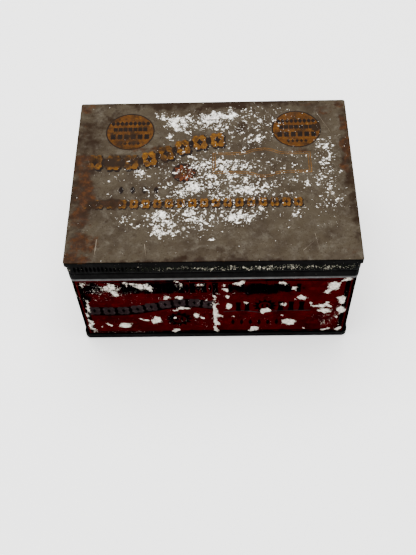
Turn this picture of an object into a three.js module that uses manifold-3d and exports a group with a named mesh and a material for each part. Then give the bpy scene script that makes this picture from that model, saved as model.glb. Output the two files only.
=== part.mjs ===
// A rectangular tobacco tin of printed tinplate with a lift-up lid on two small soldered hinges.
// Millimetres, +Z up, front towards -Y, origin at the centre of the flat underside.
import * as THREE from 'three';
import { mergeVertices } from 'three/addons/utils/BufferGeometryUtils.js';
import Module from 'manifold-3d';

// ---------- driving dimensions ----------

const LID_WIDTH = 113; // outside the lid's flange, left to right
const LID_DEPTH = 83; // outside the lid's flange, front to back
const TIN_HEIGHT = 58.5;
const LID_HEIGHT = 11.7; // from the lid's lower edge to its top
const SHEET = 0.3; // tinplate thickness
const BODY_STEP = 0.7; // how far the body wall stands inside the lid's flange
const BODY_CORNER = 1.6; // radius of the body wall's corners, outside

const FLANGE_HEIGHT = 2.7; // turned-down edge of the lid panel
const FLANGE_CORNER = 0.9;
const FLANGE_ROUND = 0.35; // rounding where the panel turns down
const PANEL_FIT = 0.05; // gap between the flange and the skirt inside it
const TURN_IN = 2; // ledge at the skirt's top, which the panel is soldered to
const CREASE_HEIGHT = 3.8; // from the lid's lower edge to the crease
const CREASE_DEPTH = 0.12;
const CREASE_WIDTH = 0.7;

const HEM_HEIGHT = 1.4; // folded top edge of the body wall
const HEM_STAND = 0.2; // how far the fold stands out of the wall
const LID_GAP = 0.15; // between the fold and the closed lid
const COLLAR_STAND = 5; // neck collar above the body wall
const COLLAR_SEAT = 7; // neck collar below the body wall's top
const COLLAR_FIT = 0.05; // gap between the collar and the wall
const LID_CLEARANCE = 0.3; // between the collar and the lid's lower edge

const BASE_BAND = 0.5; // folded and soldered rim of the base pan
const BASE_BAND_HEIGHT = 3.6;
const BASE_ROUND = 0.8; // rounding at the pan's lower edge
const BASE_FIT = 0.1; // gap between the base band and the wall
const SEAT_GAP = 0.1; // between the pan's floor and the wall standing on it

const SEAM_WIDTH = 5; // lapped strip down the back of the wall and of the skirt
const SEAM_BITE = 0.1; // how deep the strip sinks into the sheet it is joined to
const SEAM_MARGIN = 0.4; // between the strip's ends and what is above and below it

const HINGE_SPACING = 56; // between the middles of the two hinges
const KNUCKLE_LENGTH = 5;
const KNUCKLE_GAP = 0.25; // between neighbouring knuckles
const LEAF_SHEET = 0.4;
const LEAF_FIT = 0.05; // gap between a leaf and what it is soldered to
const BODY_LEAF_HEIGHT = 8.5;
const LEAF_MARGIN = 0.5; // between the lid leaf and the flange above it
const LEAF_CORNER = 1;
const PIN_RADIUS = 0.45;
const PIN_FIT = 0.1; // radial clearance of the pin in its knuckles
const KNUCKLE_CLEARANCE = 0.3; // knuckle to wall, fold and neighbouring leaf
const PIN_HEAD_RADIUS = 0.75;
const PIN_HEAD_LENGTH = 0.4;

const CORNER_STEPS = 6; // sides to each rounded corner
const ARC_STEPS = 5; // sides to each rounding in a section
const ROUND_STEPS = 20; // sides to a pin or knuckle

// ---------- sizes that follow ----------

const lidEdgeZ = TIN_HEIGHT - LID_HEIGHT;
const bodyTopZ = lidEdgeZ - LID_GAP;
const flangeZ = TIN_HEIGHT - FLANGE_HEIGHT;
const wallFootZ = SHEET + SEAT_GAP;

// Insets are measured inwards from the outside of the lid's flange.
const skirtInset = SHEET + PANEL_FIT;
const hemInset = BODY_STEP - HEM_STAND;
const collarInset = BODY_STEP + SHEET + COLLAR_FIT;
const lidEdgeInset = collarInset - LID_CLEARANCE - SHEET;
const baseInset = BODY_STEP - BASE_FIT - BASE_BAND;

const knuckleRadius = PIN_RADIUS + PIN_FIT + LEAF_SHEET;
const hingeLength = 3 * KNUCKLE_LENGTH + 2 * KNUCKLE_GAP;
const pinY = LID_DEPTH / 2 - hemInset + KNUCKLE_CLEARANCE + knuckleRadius;
const pinZ = bodyTopZ - LID_GAP;

// ---------- materials ----------

const finish = (color, roughness, metalness) =>
  new THREE.MeshStandardMaterial({ color, roughness, metalness });
const printedTop = finish(0x5a4c3d, 0.55, 0.3);
const printedSide = finish(0x4a0508, 0.45, 0.2);
const blackSide = finish(0x0c0a0a, 0.45, 0.2);
const bareTinplate = finish(0x8a8680, 0.45, 0.9);
const steelWire = finish(0x6f6a64, 0.5, 0.9);

// ---------- shapes ----------

// One level of a rounded rectangle, `inset` inside the lid's flange. Every level has the same
// number of points, so that levels can be joined side by side.
function level(inset, z, cornerRadius) {
  const reachX = LID_WIDTH / 2 - inset - cornerRadius;
  const reachY = LID_DEPTH / 2 - inset - cornerRadius;
  const points = [];
  for (let corner = 0; corner < 4; corner++) {
    const centreX = corner === 0 || corner === 3 ? reachX : -reachX;
    const centreY = corner < 2 ? reachY : -reachY;
    const arc = new THREE.EllipseCurve(
      centreX, centreY, cornerRadius, cornerRadius,
      corner * Math.PI / 2, (corner + 1) * Math.PI / 2,
    );
    for (const point of arc.getPoints(CORNER_STEPS)) {
      points.push(new THREE.Vector3(point.x, point.y, z));
    }
  }
  return points;
}

// A level whose corners share their centres with the body wall's corners.
const bodyLevel = ([inset, z]) => level(inset, z, BODY_CORNER + BODY_STEP - inset);

// A level whose corners share their centres with the lid flange's corners.
const flangeLevel = ([inset, z]) => level(inset, z, FLANGE_CORNER - Math.min(inset, SHEET));

// Joins each level to the next. A band goes round to its first level again; a pan is closed by
// a flat cap on its first and on its last level.
function skin(levels, isBand) {
  const count = levels[0].length;
  const positions = levels.flat().flatMap((point) => point.toArray());
  const indices = [];
  const spans = isBand ? levels.length : levels.length - 1;
  for (let row = 0; row < spans; row++) {
    const here = row * count;
    const next = ((row + 1) % levels.length) * count;
    for (let i = 0; i < count; i++) {
      const j = (i + 1) % count;
      indices.push(here + i, here + j, next + j);
      indices.push(here + i, next + j, next + i);
    }
  }
  if (!isBand) {
    const last = (levels.length - 1) * count;
    const outline = levels[0].map((point) => new THREE.Vector2(point.x, point.y));
    for (const [a, b, c] of THREE.ShapeUtils.triangulateShape(outline, [])) {
      indices.push(c, b, a);
      indices.push(last + a, last + b, last + c);
    }
  }
  const geometry = new THREE.BufferGeometry();
  geometry.setAttribute('position', new THREE.Float32BufferAttribute(positions, 3));
  geometry.setIndex(indices);
  return geometry;
}

// Points of a quarter round in a section, as [inset, z], from one angle to another.
function quarterRound(inset, z, radius, startAngle, endAngle) {
  const arc = new THREE.EllipseCurve(inset, z, radius, radius, startAngle, endAngle, endAngle < startAngle);
  return arc.getPoints(ARC_STEPS).map((point) => [point.x, point.y]);
}

function box(lowX, highX, lowY, highY, lowZ, highZ) {
  const geometry = new THREE.BoxGeometry(highX - lowX, highY - lowY, highZ - lowZ);
  geometry.translate((lowX + highX) / 2, (lowY + highY) / 2, (lowZ + highZ) / 2);
  return geometry;
}

// A solid of an outline in the X-Z plane, with its thickness along Y.
function plate(shape, lowY, thickness) {
  const geometry = new THREE.ExtrudeGeometry(shape, { depth: thickness, bevelEnabled: false });
  geometry.rotateX(Math.PI / 2);
  geometry.translate(0, lowY + thickness, 0);
  return geometry;
}

// A cylinder along X, on the hinge axis.
function rod(radius, lowX, highX) {
  const geometry = new THREE.CylinderGeometry(radius, radius, highX - lowX, ROUND_STEPS);
  geometry.rotateZ(Math.PI / 2);
  geometry.translate((lowX + highX) / 2, pinY, pinZ);
  return geometry;
}

// ---------- joins and cuts ----------

const wasm = await Module();
wasm.setup();

function toSolid(geometry) {
  const bare = geometry.clone();
  bare.deleteAttribute('normal');
  bare.deleteAttribute('uv');
  const merged = mergeVertices(bare, 1e-4);
  return new wasm.Manifold(new wasm.Mesh({
    numProp: 3,
    vertProperties: new Float32Array(merged.attributes.position.array),
    triVerts: new Uint32Array(merged.index.array),
  }));
}

function toGeometry(solid) {
  const mesh = solid.getMesh();
  const geometry = new THREE.BufferGeometry();
  geometry.setAttribute('position', new THREE.BufferAttribute(new Float32Array(mesh.vertProperties), 3));
  geometry.setIndex(new THREE.BufferAttribute(new Uint32Array(mesh.triVerts), 1));
  return geometry;
}

const join = (geometries) => toGeometry(geometries.map(toSolid).reduce((all, one) => all.add(one)));
const cut = (geometry, tool) => toGeometry(toSolid(geometry).subtract(toSolid(tool)));

// ---------- body ----------

// Flat floor with a rounded lower edge and a thick turned-up rim outside the wall.
function basePan() {
  const bandInnerInset = baseInset + BASE_BAND;
  const lipRadius = BASE_BAND / 4;
  const section = [
    ...quarterRound(baseInset + BASE_ROUND, BASE_ROUND, BASE_ROUND, 1.5 * Math.PI, Math.PI),
    ...quarterRound(baseInset + lipRadius, BASE_BAND_HEIGHT - lipRadius, lipRadius, Math.PI, Math.PI / 2),
    ...quarterRound(bandInnerInset - lipRadius, BASE_BAND_HEIGHT - lipRadius, lipRadius, Math.PI / 2, 0),
    [bandInnerInset, SHEET],
  ];
  return skin(section.map(bodyLevel), false);
}

// A strip proud of the back of a wall, where its two ends lap.
function lapSeam(wallInset, lowZ, highZ) {
  const wallY = LID_DEPTH / 2 - wallInset;
  return box(-SEAM_WIDTH / 2, SEAM_WIDTH / 2, wallY - SEAM_BITE, wallY + SHEET, lowZ, highZ);
}

// Wrapped wall, its top edge folded outwards, its ends lapped at the back.
function bodyWall() {
  const hemFootZ = bodyTopZ - HEM_HEIGHT;
  const section = [
    [BODY_STEP + SHEET, bodyTopZ],
    [BODY_STEP + SHEET, wallFootZ],
    [BODY_STEP, wallFootZ],
    [BODY_STEP, hemFootZ],
    ...quarterRound(hemInset + HEM_STAND, hemFootZ + HEM_STAND, HEM_STAND, 1.5 * Math.PI, Math.PI).slice(1),
    ...quarterRound(hemInset + HEM_STAND, bodyTopZ - HEM_STAND, HEM_STAND, Math.PI, Math.PI / 2),
  ];
  const wall = skin(section.map(bodyLevel), true);
  const seam = lapSeam(BODY_STEP, BASE_BAND_HEIGHT + SEAM_MARGIN, hemFootZ - SEAM_MARGIN);
  return join([wall, seam]);
}

// Upright neck inside the wall's top, which the lid closes over.
function neckCollar() {
  const section = [
    [collarInset, bodyTopZ - COLLAR_SEAT],
    [collarInset, bodyTopZ + COLLAR_STAND],
    [collarInset + SHEET, bodyTopZ + COLLAR_STAND],
    [collarInset + SHEET, bodyTopZ - COLLAR_SEAT],
  ];
  return skin(section.map(bodyLevel), true);
}

// ---------- lid ----------

// Flat top with its edge turned down all round.
function lidPanel() {
  const section = [
    [SHEET, TIN_HEIGHT - SHEET],
    [SHEET, flangeZ],
    [0, flangeZ],
    ...quarterRound(FLANGE_ROUND, TIN_HEIGHT - FLANGE_ROUND, FLANGE_ROUND, Math.PI, Math.PI / 2),
  ];
  return skin(section.map(flangeLevel), false);
}

// The skirt's outside, from its lower edge up: a curve that leans out to the crease, the crease,
// and the straight part above it.
function skirtOutside() {
  const creaseZ = lidEdgeZ + CREASE_HEIGHT;
  const creaseInset = skirtInset + CREASE_DEPTH;
  const points = [];
  for (let step = 0; step <= ARC_STEPS; step++) {
    const turn = (step / ARC_STEPS) * (Math.PI / 2);
    const inset = lidEdgeInset + (creaseInset - lidEdgeInset) * Math.sin(turn);
    points.push([inset, lidEdgeZ + (CREASE_HEIGHT - CREASE_WIDTH / 2) * (1 - Math.cos(turn))]);
  }
  points.push([creaseInset + CREASE_DEPTH, creaseZ]);
  points.push([creaseInset, creaseZ + CREASE_WIDTH / 2]);
  points.push([skirtInset, creaseZ + CREASE_WIDTH]);
  return points;
}

// Upright band of the lid, with a ledge at its top and an edge that leans in at its foot.
function lidSkirt() {
  const topZ = TIN_HEIGHT - SHEET - PANEL_FIT;
  const outside = skirtOutside();
  const inside = outside.map(([inset, z]) => [inset + SHEET, z]).reverse();
  const section = [
    ...outside,
    [skirtInset, topZ],
    [skirtInset + TURN_IN, topZ],
    [skirtInset + TURN_IN, topZ - SHEET],
    [skirtInset + SHEET, topZ - SHEET],
    ...inside,
  ];
  const band = skin(section.map(bodyLevel), true);
  const seamFootZ = lidEdgeZ + CREASE_HEIGHT + CREASE_WIDTH + SEAM_MARGIN;
  return join([band, lapSeam(skirtInset, seamFootZ, flangeZ - SEAM_MARGIN)]);
}

// ---------- hinges ----------

// A plate with its two lower corners rounded; `up` is 1 for a plate above the pin, -1 below it.
function leafOutline(rootZ, farZ, up) {
  const half = hingeLength / 2;
  const bendZ = farZ - up * LEAF_CORNER;
  const shape = new THREE.Shape();
  shape.moveTo(-half, rootZ);
  shape.lineTo(half, rootZ);
  shape.lineTo(half, bendZ);
  shape.quadraticCurveTo(half, farZ, half - LEAF_CORNER, farZ);
  shape.lineTo(-half + LEAF_CORNER, farZ);
  shape.quadraticCurveTo(-half, farZ, -half, bendZ);
  shape.closePath();
  return shape;
}

// Leaf below the pin, soldered to the wall, with a knuckle at each end.
function bodyLeaf() {
  const lowY = LID_DEPTH / 2 - hemInset + LEAF_FIT;
  const half = hingeLength / 2;
  const notchZ = pinZ - knuckleRadius - KNUCKLE_CLEARANCE;
  const root = plate(leafOutline(notchZ, pinZ - BODY_LEAF_HEIGHT, -1), lowY, LEAF_SHEET);
  const pieces = [root];
  for (const lowX of [-half, half - KNUCKLE_LENGTH]) {
    const highX = lowX + KNUCKLE_LENGTH;
    pieces.push(box(lowX, highX, lowY, lowY + LEAF_SHEET, notchZ - SEAM_BITE, pinZ));
    pieces.push(rod(knuckleRadius, lowX, highX));
  }
  return cut(join(pieces), rod(PIN_RADIUS + PIN_FIT, -half - 1, half + 1));
}

// Leaf above the pin, soldered to the lid's skirt, with one knuckle in the middle.
function lidLeaf() {
  const lowY = LID_DEPTH / 2 - skirtInset + LEAF_FIT;
  const half = hingeLength / 2;
  const tongue = KNUCKLE_LENGTH / 2;
  const rootZ = pinZ + knuckleRadius + KNUCKLE_CLEARANCE;
  const pieces = [
    plate(leafOutline(rootZ, flangeZ - LEAF_MARGIN, 1), lowY, LEAF_SHEET),
    box(-tongue, tongue, lowY, lowY + LEAF_SHEET, pinZ, rootZ + SEAM_BITE),
    rod(knuckleRadius, -tongue, tongue),
  ];
  return cut(join(pieces), rod(PIN_RADIUS + PIN_FIT, -half - 1, half + 1));
}

// Wire pin with both ends peened over.
function hingePin() {
  const shoulder = hingeLength / 2 + PIN_FIT;
  const end = shoulder + PIN_HEAD_LENGTH;
  const profile = [
    [0, -end], [PIN_HEAD_RADIUS * 0.7, -end], [PIN_HEAD_RADIUS, -end + PIN_HEAD_LENGTH / 2],
    [PIN_HEAD_RADIUS, -shoulder], [PIN_RADIUS, -shoulder],
    [PIN_RADIUS, shoulder], [PIN_HEAD_RADIUS, shoulder],
    [PIN_HEAD_RADIUS, end - PIN_HEAD_LENGTH / 2], [PIN_HEAD_RADIUS * 0.7, end], [0, end],
  ].map(([radius, along]) => new THREE.Vector2(radius, along));
  const geometry = new THREE.LatheGeometry(profile, ROUND_STEPS);
  geometry.rotateZ(Math.PI / 2);
  geometry.translate(0, pinY, pinZ);
  return geometry;
}

// ---------- assembly ----------

const tin = new THREE.Group();

function addPiece(name, geometry, material, x = 0) {
  const mesh = new THREE.Mesh(geometry, material);
  mesh.name = name;
  mesh.position.x = x;
  tin.add(mesh);
}

addPiece('base_pan', basePan(), blackSide);
addPiece('body_wall', bodyWall(), printedSide);
addPiece('neck_collar', neckCollar(), bareTinplate);
addPiece('lid_panel', lidPanel(), printedTop);
addPiece('lid_skirt', lidSkirt(), blackSide);

for (const [side, x] of [['left', -HINGE_SPACING / 2], ['right', HINGE_SPACING / 2]]) {
  addPiece(`hinge_${side}_body_leaf`, bodyLeaf(), bareTinplate, x);
  addPiece(`hinge_${side}_lid_leaf`, lidLeaf(), bareTinplate, x);
  addPiece(`hinge_${side}_pin`, hingePin(), steelWire, x);
}

export default tin;
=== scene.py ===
"""A worn hinged tobacco tin of printed tinplate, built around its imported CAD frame.

Metres, +Z up, front towards -Y. The sheets, their print and the hinges are made here at full detail
and ride on the two CAD bodies, "tin" and "lid".
"""

import logging
import math
import random
from collections.abc import Callable, Sequence
from dataclasses import dataclass, field
from enum import Enum

import bmesh
import bpy
import numpy as np
from mathutils import Matrix, Vector, noise
from mathutils.geometry import delaunay_2d_cdt


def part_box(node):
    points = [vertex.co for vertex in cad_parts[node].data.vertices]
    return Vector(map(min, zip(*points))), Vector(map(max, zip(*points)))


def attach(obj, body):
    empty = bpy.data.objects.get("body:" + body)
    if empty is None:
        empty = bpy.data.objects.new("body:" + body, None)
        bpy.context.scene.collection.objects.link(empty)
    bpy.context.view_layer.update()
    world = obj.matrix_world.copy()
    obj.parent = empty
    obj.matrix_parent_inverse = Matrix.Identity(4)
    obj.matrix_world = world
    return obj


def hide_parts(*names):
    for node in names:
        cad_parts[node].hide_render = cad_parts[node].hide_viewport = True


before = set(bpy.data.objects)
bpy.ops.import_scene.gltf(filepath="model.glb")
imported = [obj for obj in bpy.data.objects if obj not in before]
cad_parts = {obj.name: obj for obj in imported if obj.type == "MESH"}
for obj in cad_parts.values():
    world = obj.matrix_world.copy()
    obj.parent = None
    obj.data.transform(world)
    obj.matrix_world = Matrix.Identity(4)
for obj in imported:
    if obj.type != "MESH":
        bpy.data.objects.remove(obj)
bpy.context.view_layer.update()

MM = 0.001
LOG = logging.getLogger("tin")

Point = tuple[float, float]


class Body(Enum):
    """The two bodies of the frame that pieces ride on."""

    TIN = "tin"
    LID = "lid"


class Slot(Enum):
    """The record's material slots."""

    TOP = "printed_top"
    SIDE = "printed_side"
    BLACK = "black_side"
    BARE = "bare_tinplate"
    WIRE = "steel_wire"


# ---------------------------------------------------------------- frame sizes


@dataclass(frozen=True)
class TinSizes:
    """Sizes in millimetres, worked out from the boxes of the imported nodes.

    An inset is measured inwards from the outside of the lid's flange.
    """

    half_x: float
    half_y: float
    top: float
    flange_foot: float
    lid_edge: float
    wall_top: float
    collar_foot: float
    collar_top: float
    base_band: float
    skirt_inset: float
    hem_inset: float
    collar_inset: float
    base_inset: float
    sheet: float = 0.3
    hem_stand: float = 0.2
    hem_height: float = 1.4
    body_corner: float = 1.6
    flange_corner: float = 0.9
    seam_width: float = 5.0
    crease_height: float = 3.8
    crease_depth: float = 0.12
    crease_width: float = 0.7
    lid_clearance: float = 0.3
    base_fit: float = 0.1
    base_round: float = 0.8
    leaf_sheet: float = 0.4
    knuckle_length: float = 5.0

    @classmethod
    def from_frame(cls) -> "TinSizes":
        """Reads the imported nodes.

        Returns:
            The sizes of the sheets.
        """
        panel_low, panel_high = (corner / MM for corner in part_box("lid_panel"))
        skirt_low, skirt_high = (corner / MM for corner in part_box("lid_skirt"))
        wall_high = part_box("body_wall")[1] / MM
        collar_low, collar_high = (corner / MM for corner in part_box("neck_collar"))
        base_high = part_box("base_pan")[1] / MM
        return cls(
            half_x=panel_high.x,
            half_y=panel_high.y,
            top=panel_high.z,
            flange_foot=panel_low.z,
            lid_edge=skirt_low.z,
            wall_top=wall_high.z,
            collar_foot=collar_low.z,
            collar_top=collar_high.z,
            base_band=base_high.z,
            skirt_inset=panel_high.x - skirt_high.x,
            hem_inset=panel_high.x - wall_high.x,
            collar_inset=panel_high.x - collar_high.x,
            base_inset=panel_high.x - base_high.x,
        )

    @property
    def wall_inset(self) -> float:
        """Inset of the body wall's outside."""
        return self.hem_inset + self.hem_stand

    @property
    def lid_edge_inset(self) -> float:
        """Inset of the skirt's leaning foot."""
        return self.collar_inset - self.lid_clearance - self.sheet

    @property
    def base_rim(self) -> float:
        """Width of the base pan's folded rim."""
        return self.wall_inset - self.base_fit - self.base_inset

    def corner(self, inset: float) -> float:
        """Corner radius, at an inset, of sheets that share the body wall's corner centres."""
        return self.body_corner + self.wall_inset - inset


# ---------------------------------------------------------------- nodes


def add_node(
    tree: bpy.types.NodeTree,
    kind: str,
    settings: dict | None = None,
    inputs: dict | None = None,
) -> bpy.types.Node:
    """Adds one node to a tree.

    Args:
        tree: The shader or geometry tree.
        kind: The node's type name.
        settings: Its properties.
        inputs: For each input's name or index, a value or the output that feeds it.

    Returns:
        The new node.
    """
    node = tree.nodes.new(kind)
    for name, value in (settings or {}).items():
        setattr(node, name, value)
    for key, value in (inputs or {}).items():
        if isinstance(value, bpy.types.NodeSocket):
            tree.links.new(value, node.inputs[key])
        else:
            node.inputs[key].default_value = value
    return node


def colour(code: str) -> tuple[float, float, float, float]:
    """Turns an sRGB hex code such as "#8a5a1c" into a linear RGBA colour."""
    parts = [int(code[i : i + 2], 16) / 255 for i in (1, 3, 5)]
    linear = [c / 12.92 if c <= 0.04045 else ((c + 0.055) / 1.055) ** 2.4 for c in parts]
    return (*linear, 1.0)


RGBA = {"data_type": "RGBA"}
SMOOTH = {"interpolation_type": "SMOOTHSTEP"}


def place(tree: bpy.types.NodeTree) -> bpy.types.NodeSocket:
    """The object coordinates, in metres."""
    return add_node(tree, "ShaderNodeTexCoord").outputs["Object"]


def grain(
    tree: bpy.types.NodeTree,
    size_mm: float,
    low: float,
    high: float,
    detail: float = 3.0,
    roughness: float = 0.6,
    shift: float = 0.0,
) -> bpy.types.NodeSocket:
    """A mask from noise whose cells are about size_mm wide, smooth from low to high.

    Args:
        tree: The shader tree.
        size_mm: Width of one cell, in millimetres.
        low: Noise value where the mask is 0.
        high: Noise value where the mask is 1.
        detail: Octaves of finer noise.
        roughness: Strength of each finer octave.
        shift: Offset in metres that makes one mask differ from another.

    Returns:
        The mask, from 0 to 1.
    """
    spot = add_node(
        tree,
        "ShaderNodeMapping",
        None,
        {"Vector": place(tree), "Location": (shift, shift, shift)},
    )
    cells = add_node(
        tree,
        "ShaderNodeTexNoise",
        None,
        {"Vector": spot.outputs[0], "Scale": 1 / (size_mm * MM), "Detail": detail, "Roughness": roughness},
    )
    mask = add_node(
        tree,
        "ShaderNodeMapRange",
        SMOOTH,
        {"Value": cells.outputs[0], "From Min": low, "From Max": high},
    )
    return mask.outputs[0]


def flaked(
    tree: bpy.types.NodeTree,
    attribute: str,
    size_mm: float,
    bare: float,
    full: float,
    edge: float,
    detail: float = 5.0,
    roughness: float = 0.7,
) -> bpy.types.NodeSocket:
    """A hard-edged mask of chips, as thick as the piece's own attribute says.

    Args:
        tree: The shader tree.
        attribute: Name of the point attribute that holds the density, 0 to 1.
        size_mm: Width of a chip, in millimetres.
        bare: Noise level above which there is a chip where the density is 0.
        full: The same where the density is 1.
        edge: Softness of a chip's edge, in noise units.
        detail: Octaves of finer noise.
        roughness: Strength of each finer octave.

    Returns:
        The mask, 1 inside a chip.
    """
    density = add_node(tree, "ShaderNodeAttribute", {"attribute_name": attribute})
    level = add_node(
        tree,
        "ShaderNodeMapRange",
        None,
        {"Value": density.outputs["Fac"], "To Min": bare, "To Max": full},
    )
    top = add_node(tree, "ShaderNodeMath", {"operation": "ADD"}, {0: level.outputs[0], 1: edge})
    cells = add_node(
        tree,
        "ShaderNodeTexNoise",
        None,
        {"Vector": place(tree), "Scale": 1 / (size_mm * MM), "Detail": detail, "Roughness": roughness},
    )
    mask = add_node(
        tree,
        "ShaderNodeMapRange",
        SMOOTH,
        {"Value": cells.outputs[0], "From Min": level.outputs[0], "From Max": top.outputs[0]},
    )
    return mask.outputs[0]


def new_material(name: str) -> tuple[bpy.types.Material, bpy.types.NodeTree, bpy.types.Node]:
    """Starts a material with one Principled shader.

    Args:
        name: The material's name.

    Returns:
        The material, its tree and its shader.
    """
    material = bpy.data.materials.new(name)
    material.use_nodes = True
    tree = material.node_tree
    return material, tree, tree.nodes["Principled BSDF"]


# ---------------------------------------------------------------- finishes


@dataclass(frozen=True)
class Lithograph:
    """Printed and varnished tinplate: coats of ink on a pale ground that flakes off in specks.

    The eye gets a dull mottled ink colour, whitish specks where the ink is gone, and rust.
    """

    name: str
    ink: str
    ink_dark: str
    ink_light: str
    chip: str = "#dcd8cc"
    rust: str = "#231205"
    rust_bright: str = "#3d2108"
    grime: str = "#1c0f03"
    chip_mm: float = 1.1
    bare: float = 0.80
    full: float = 0.43
    edge: float = 0.03
    detail: float = 5.0
    rough: float = 0.75
    salt_mm: float = 0.55
    metallic: float = 0.0
    roughness: float = 0.5
    specular: float = 0.06
    mottle_mm: float = 9.0

    def build(self) -> bpy.types.Material:
        """Makes the material.

        Returns:
            The finished material.
        """
        material, tree, shader = new_material(self.name)
        rust_tone = add_node(
            tree,
            "ShaderNodeMix",
            RGBA,
            {
                0: grain(tree, 2.6, 0.42, 0.68, 5, 0.7, shift=0.63),
                6: colour(self.rust),
                7: colour(self.rust_bright),
            },
        )
        flakes = flaked(
            tree, "flake", self.chip_mm, self.bare, self.full, self.edge, self.detail, self.rough
        )
        salt = flaked(tree, "flake", self.salt_mm, self.bare + 0.02, self.full + 0.10, 0.05, 2.0, 0.6)
        chips = add_node(tree, "ShaderNodeMath", {"operation": "MAXIMUM"}, {0: flakes, 1: salt}).outputs[0]
        chip_tone = add_node(
            tree,
            "ShaderNodeMix",
            RGBA,
            {0: grain(tree, 0.9, 0.35, 0.7, shift=0.5), 6: colour(self.chip), 7: colour("#a79f90")},
        )
        coats = (
            (grain(tree, self.mottle_mm, 0.35, 0.85), colour(self.ink_dark)),
            (grain(tree, self.mottle_mm / 2.5, 0.46, 0.78, 4, 0.7, shift=0.31), colour(self.ink_light)),
            (grain(tree, 0.55, 0.54, 0.74, 3, 0.7, shift=0.77), colour(self.grime)),
            (flaked(tree, "grime", 4.0, 0.72, 0.08, 0.3), colour(self.grime)),
            (flaked(tree, "rust", 3.0, 0.80, 0.16, 0.30), rust_tone.outputs[2]),
            (chips, chip_tone.outputs[2]),
        )
        seen = colour(self.ink)
        for mask, tone in coats:
            seen = add_node(tree, "ShaderNodeMix", RGBA, {0: mask, 6: seen, 7: tone}).outputs[2]
        tree.links.new(seen, shader.inputs["Base Color"])
        rough = add_node(
            tree,
            "ShaderNodeMapRange",
            None,
            {
                "Value": grain(tree, 4.0, 0.3, 0.7, shift=0.2),
                "To Min": self.roughness - 0.08,
                "To Max": self.roughness + 0.12,
            },
        )
        tree.links.new(rough.outputs[0], shader.inputs["Roughness"])
        shader.inputs["Metallic"].default_value = self.metallic
        shader.inputs["Specular IOR Level"].default_value = self.specular
        height = add_node(
            tree,
            "ShaderNodeMath",
            {"operation": "SUBTRACT"},
            {0: grain(tree, 0.6, 0.3, 0.8, 2), 1: chips},
        )
        bump = add_node(
            tree,
            "ShaderNodeBump",
            None,
            {"Height": height.outputs[0], "Strength": 0.35, "Distance": 0.03 * MM},
        )
        tree.links.new(bump.outputs[0], shader.inputs["Normal"])
        return material


@dataclass(frozen=True)
class BareMetal:
    """Tin-dipped or soldered sheet and wire that has gone dull: soft grey metal with brown stains."""

    name: str
    bright: str
    dull: str
    stain: str
    stain_low: float = 0.52
    roughness: float = 0.42
    cell_mm: float = 6.0
    metallic: float = 0.85

    def build(self) -> bpy.types.Material:
        """Makes the material.

        Returns:
            The finished material.
        """
        material, tree, shader = new_material(self.name)
        cells = add_node(
            tree,
            "ShaderNodeTexVoronoi",
            None,
            {"Vector": place(tree), "Scale": 1 / (self.cell_mm * MM), "Randomness": 1.0},
        )
        spangle = add_node(
            tree,
            "ShaderNodeMapRange",
            None,
            {"Value": cells.outputs["Distance"], "From Max": 1.0, "To Max": 0.55},
        )
        metal = add_node(
            tree,
            "ShaderNodeMix",
            RGBA,
            {0: spangle.outputs[0], 6: colour(self.bright), 7: colour(self.dull)},
        )
        stained = add_node(
            tree,
            "ShaderNodeMix",
            RGBA,
            {
                0: grain(tree, 7.0, self.stain_low, self.stain_low + 0.2, 6, 0.7, shift=0.4),
                6: metal.outputs[2],
                7: colour(self.stain),
            },
        )
        tree.links.new(stained.outputs[2], shader.inputs["Base Color"])
        shader.inputs["Metallic"].default_value = self.metallic
        rough = add_node(
            tree,
            "ShaderNodeMapRange",
            None,
            {
                "Value": grain(tree, 2.5, 0.3, 0.75, 5, 0.7, shift=0.9),
                "To Min": self.roughness - 0.1,
                "To Max": self.roughness + 0.25,
            },
        )
        tree.links.new(rough.outputs[0], shader.inputs["Roughness"])
        bump = add_node(
            tree,
            "ShaderNodeBump",
            None,
            {"Height": grain(tree, 1.2, 0.3, 0.8, 4, 0.6), "Strength": 0.3, "Distance": 0.03 * MM},
        )
        tree.links.new(bump.outputs[0], shader.inputs["Normal"])
        return material


FINE_CHIPS = {
    "chip": "#f8f5ee", "bare": 0.73, "full": 0.405, "chip_mm": 1.6, "salt_mm": 0.8,
    "edge": 0.015, "detail": 3.0, "rough": 0.78,
}
BIG_CHIPS = {
    "chip": "#e6e1d4", "bare": 0.73, "full": 0.36, "chip_mm": 2.0, "specular": 0.0,
    "edge": 0.012, "detail": 6.0, "rough": 0.93,
}


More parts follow.
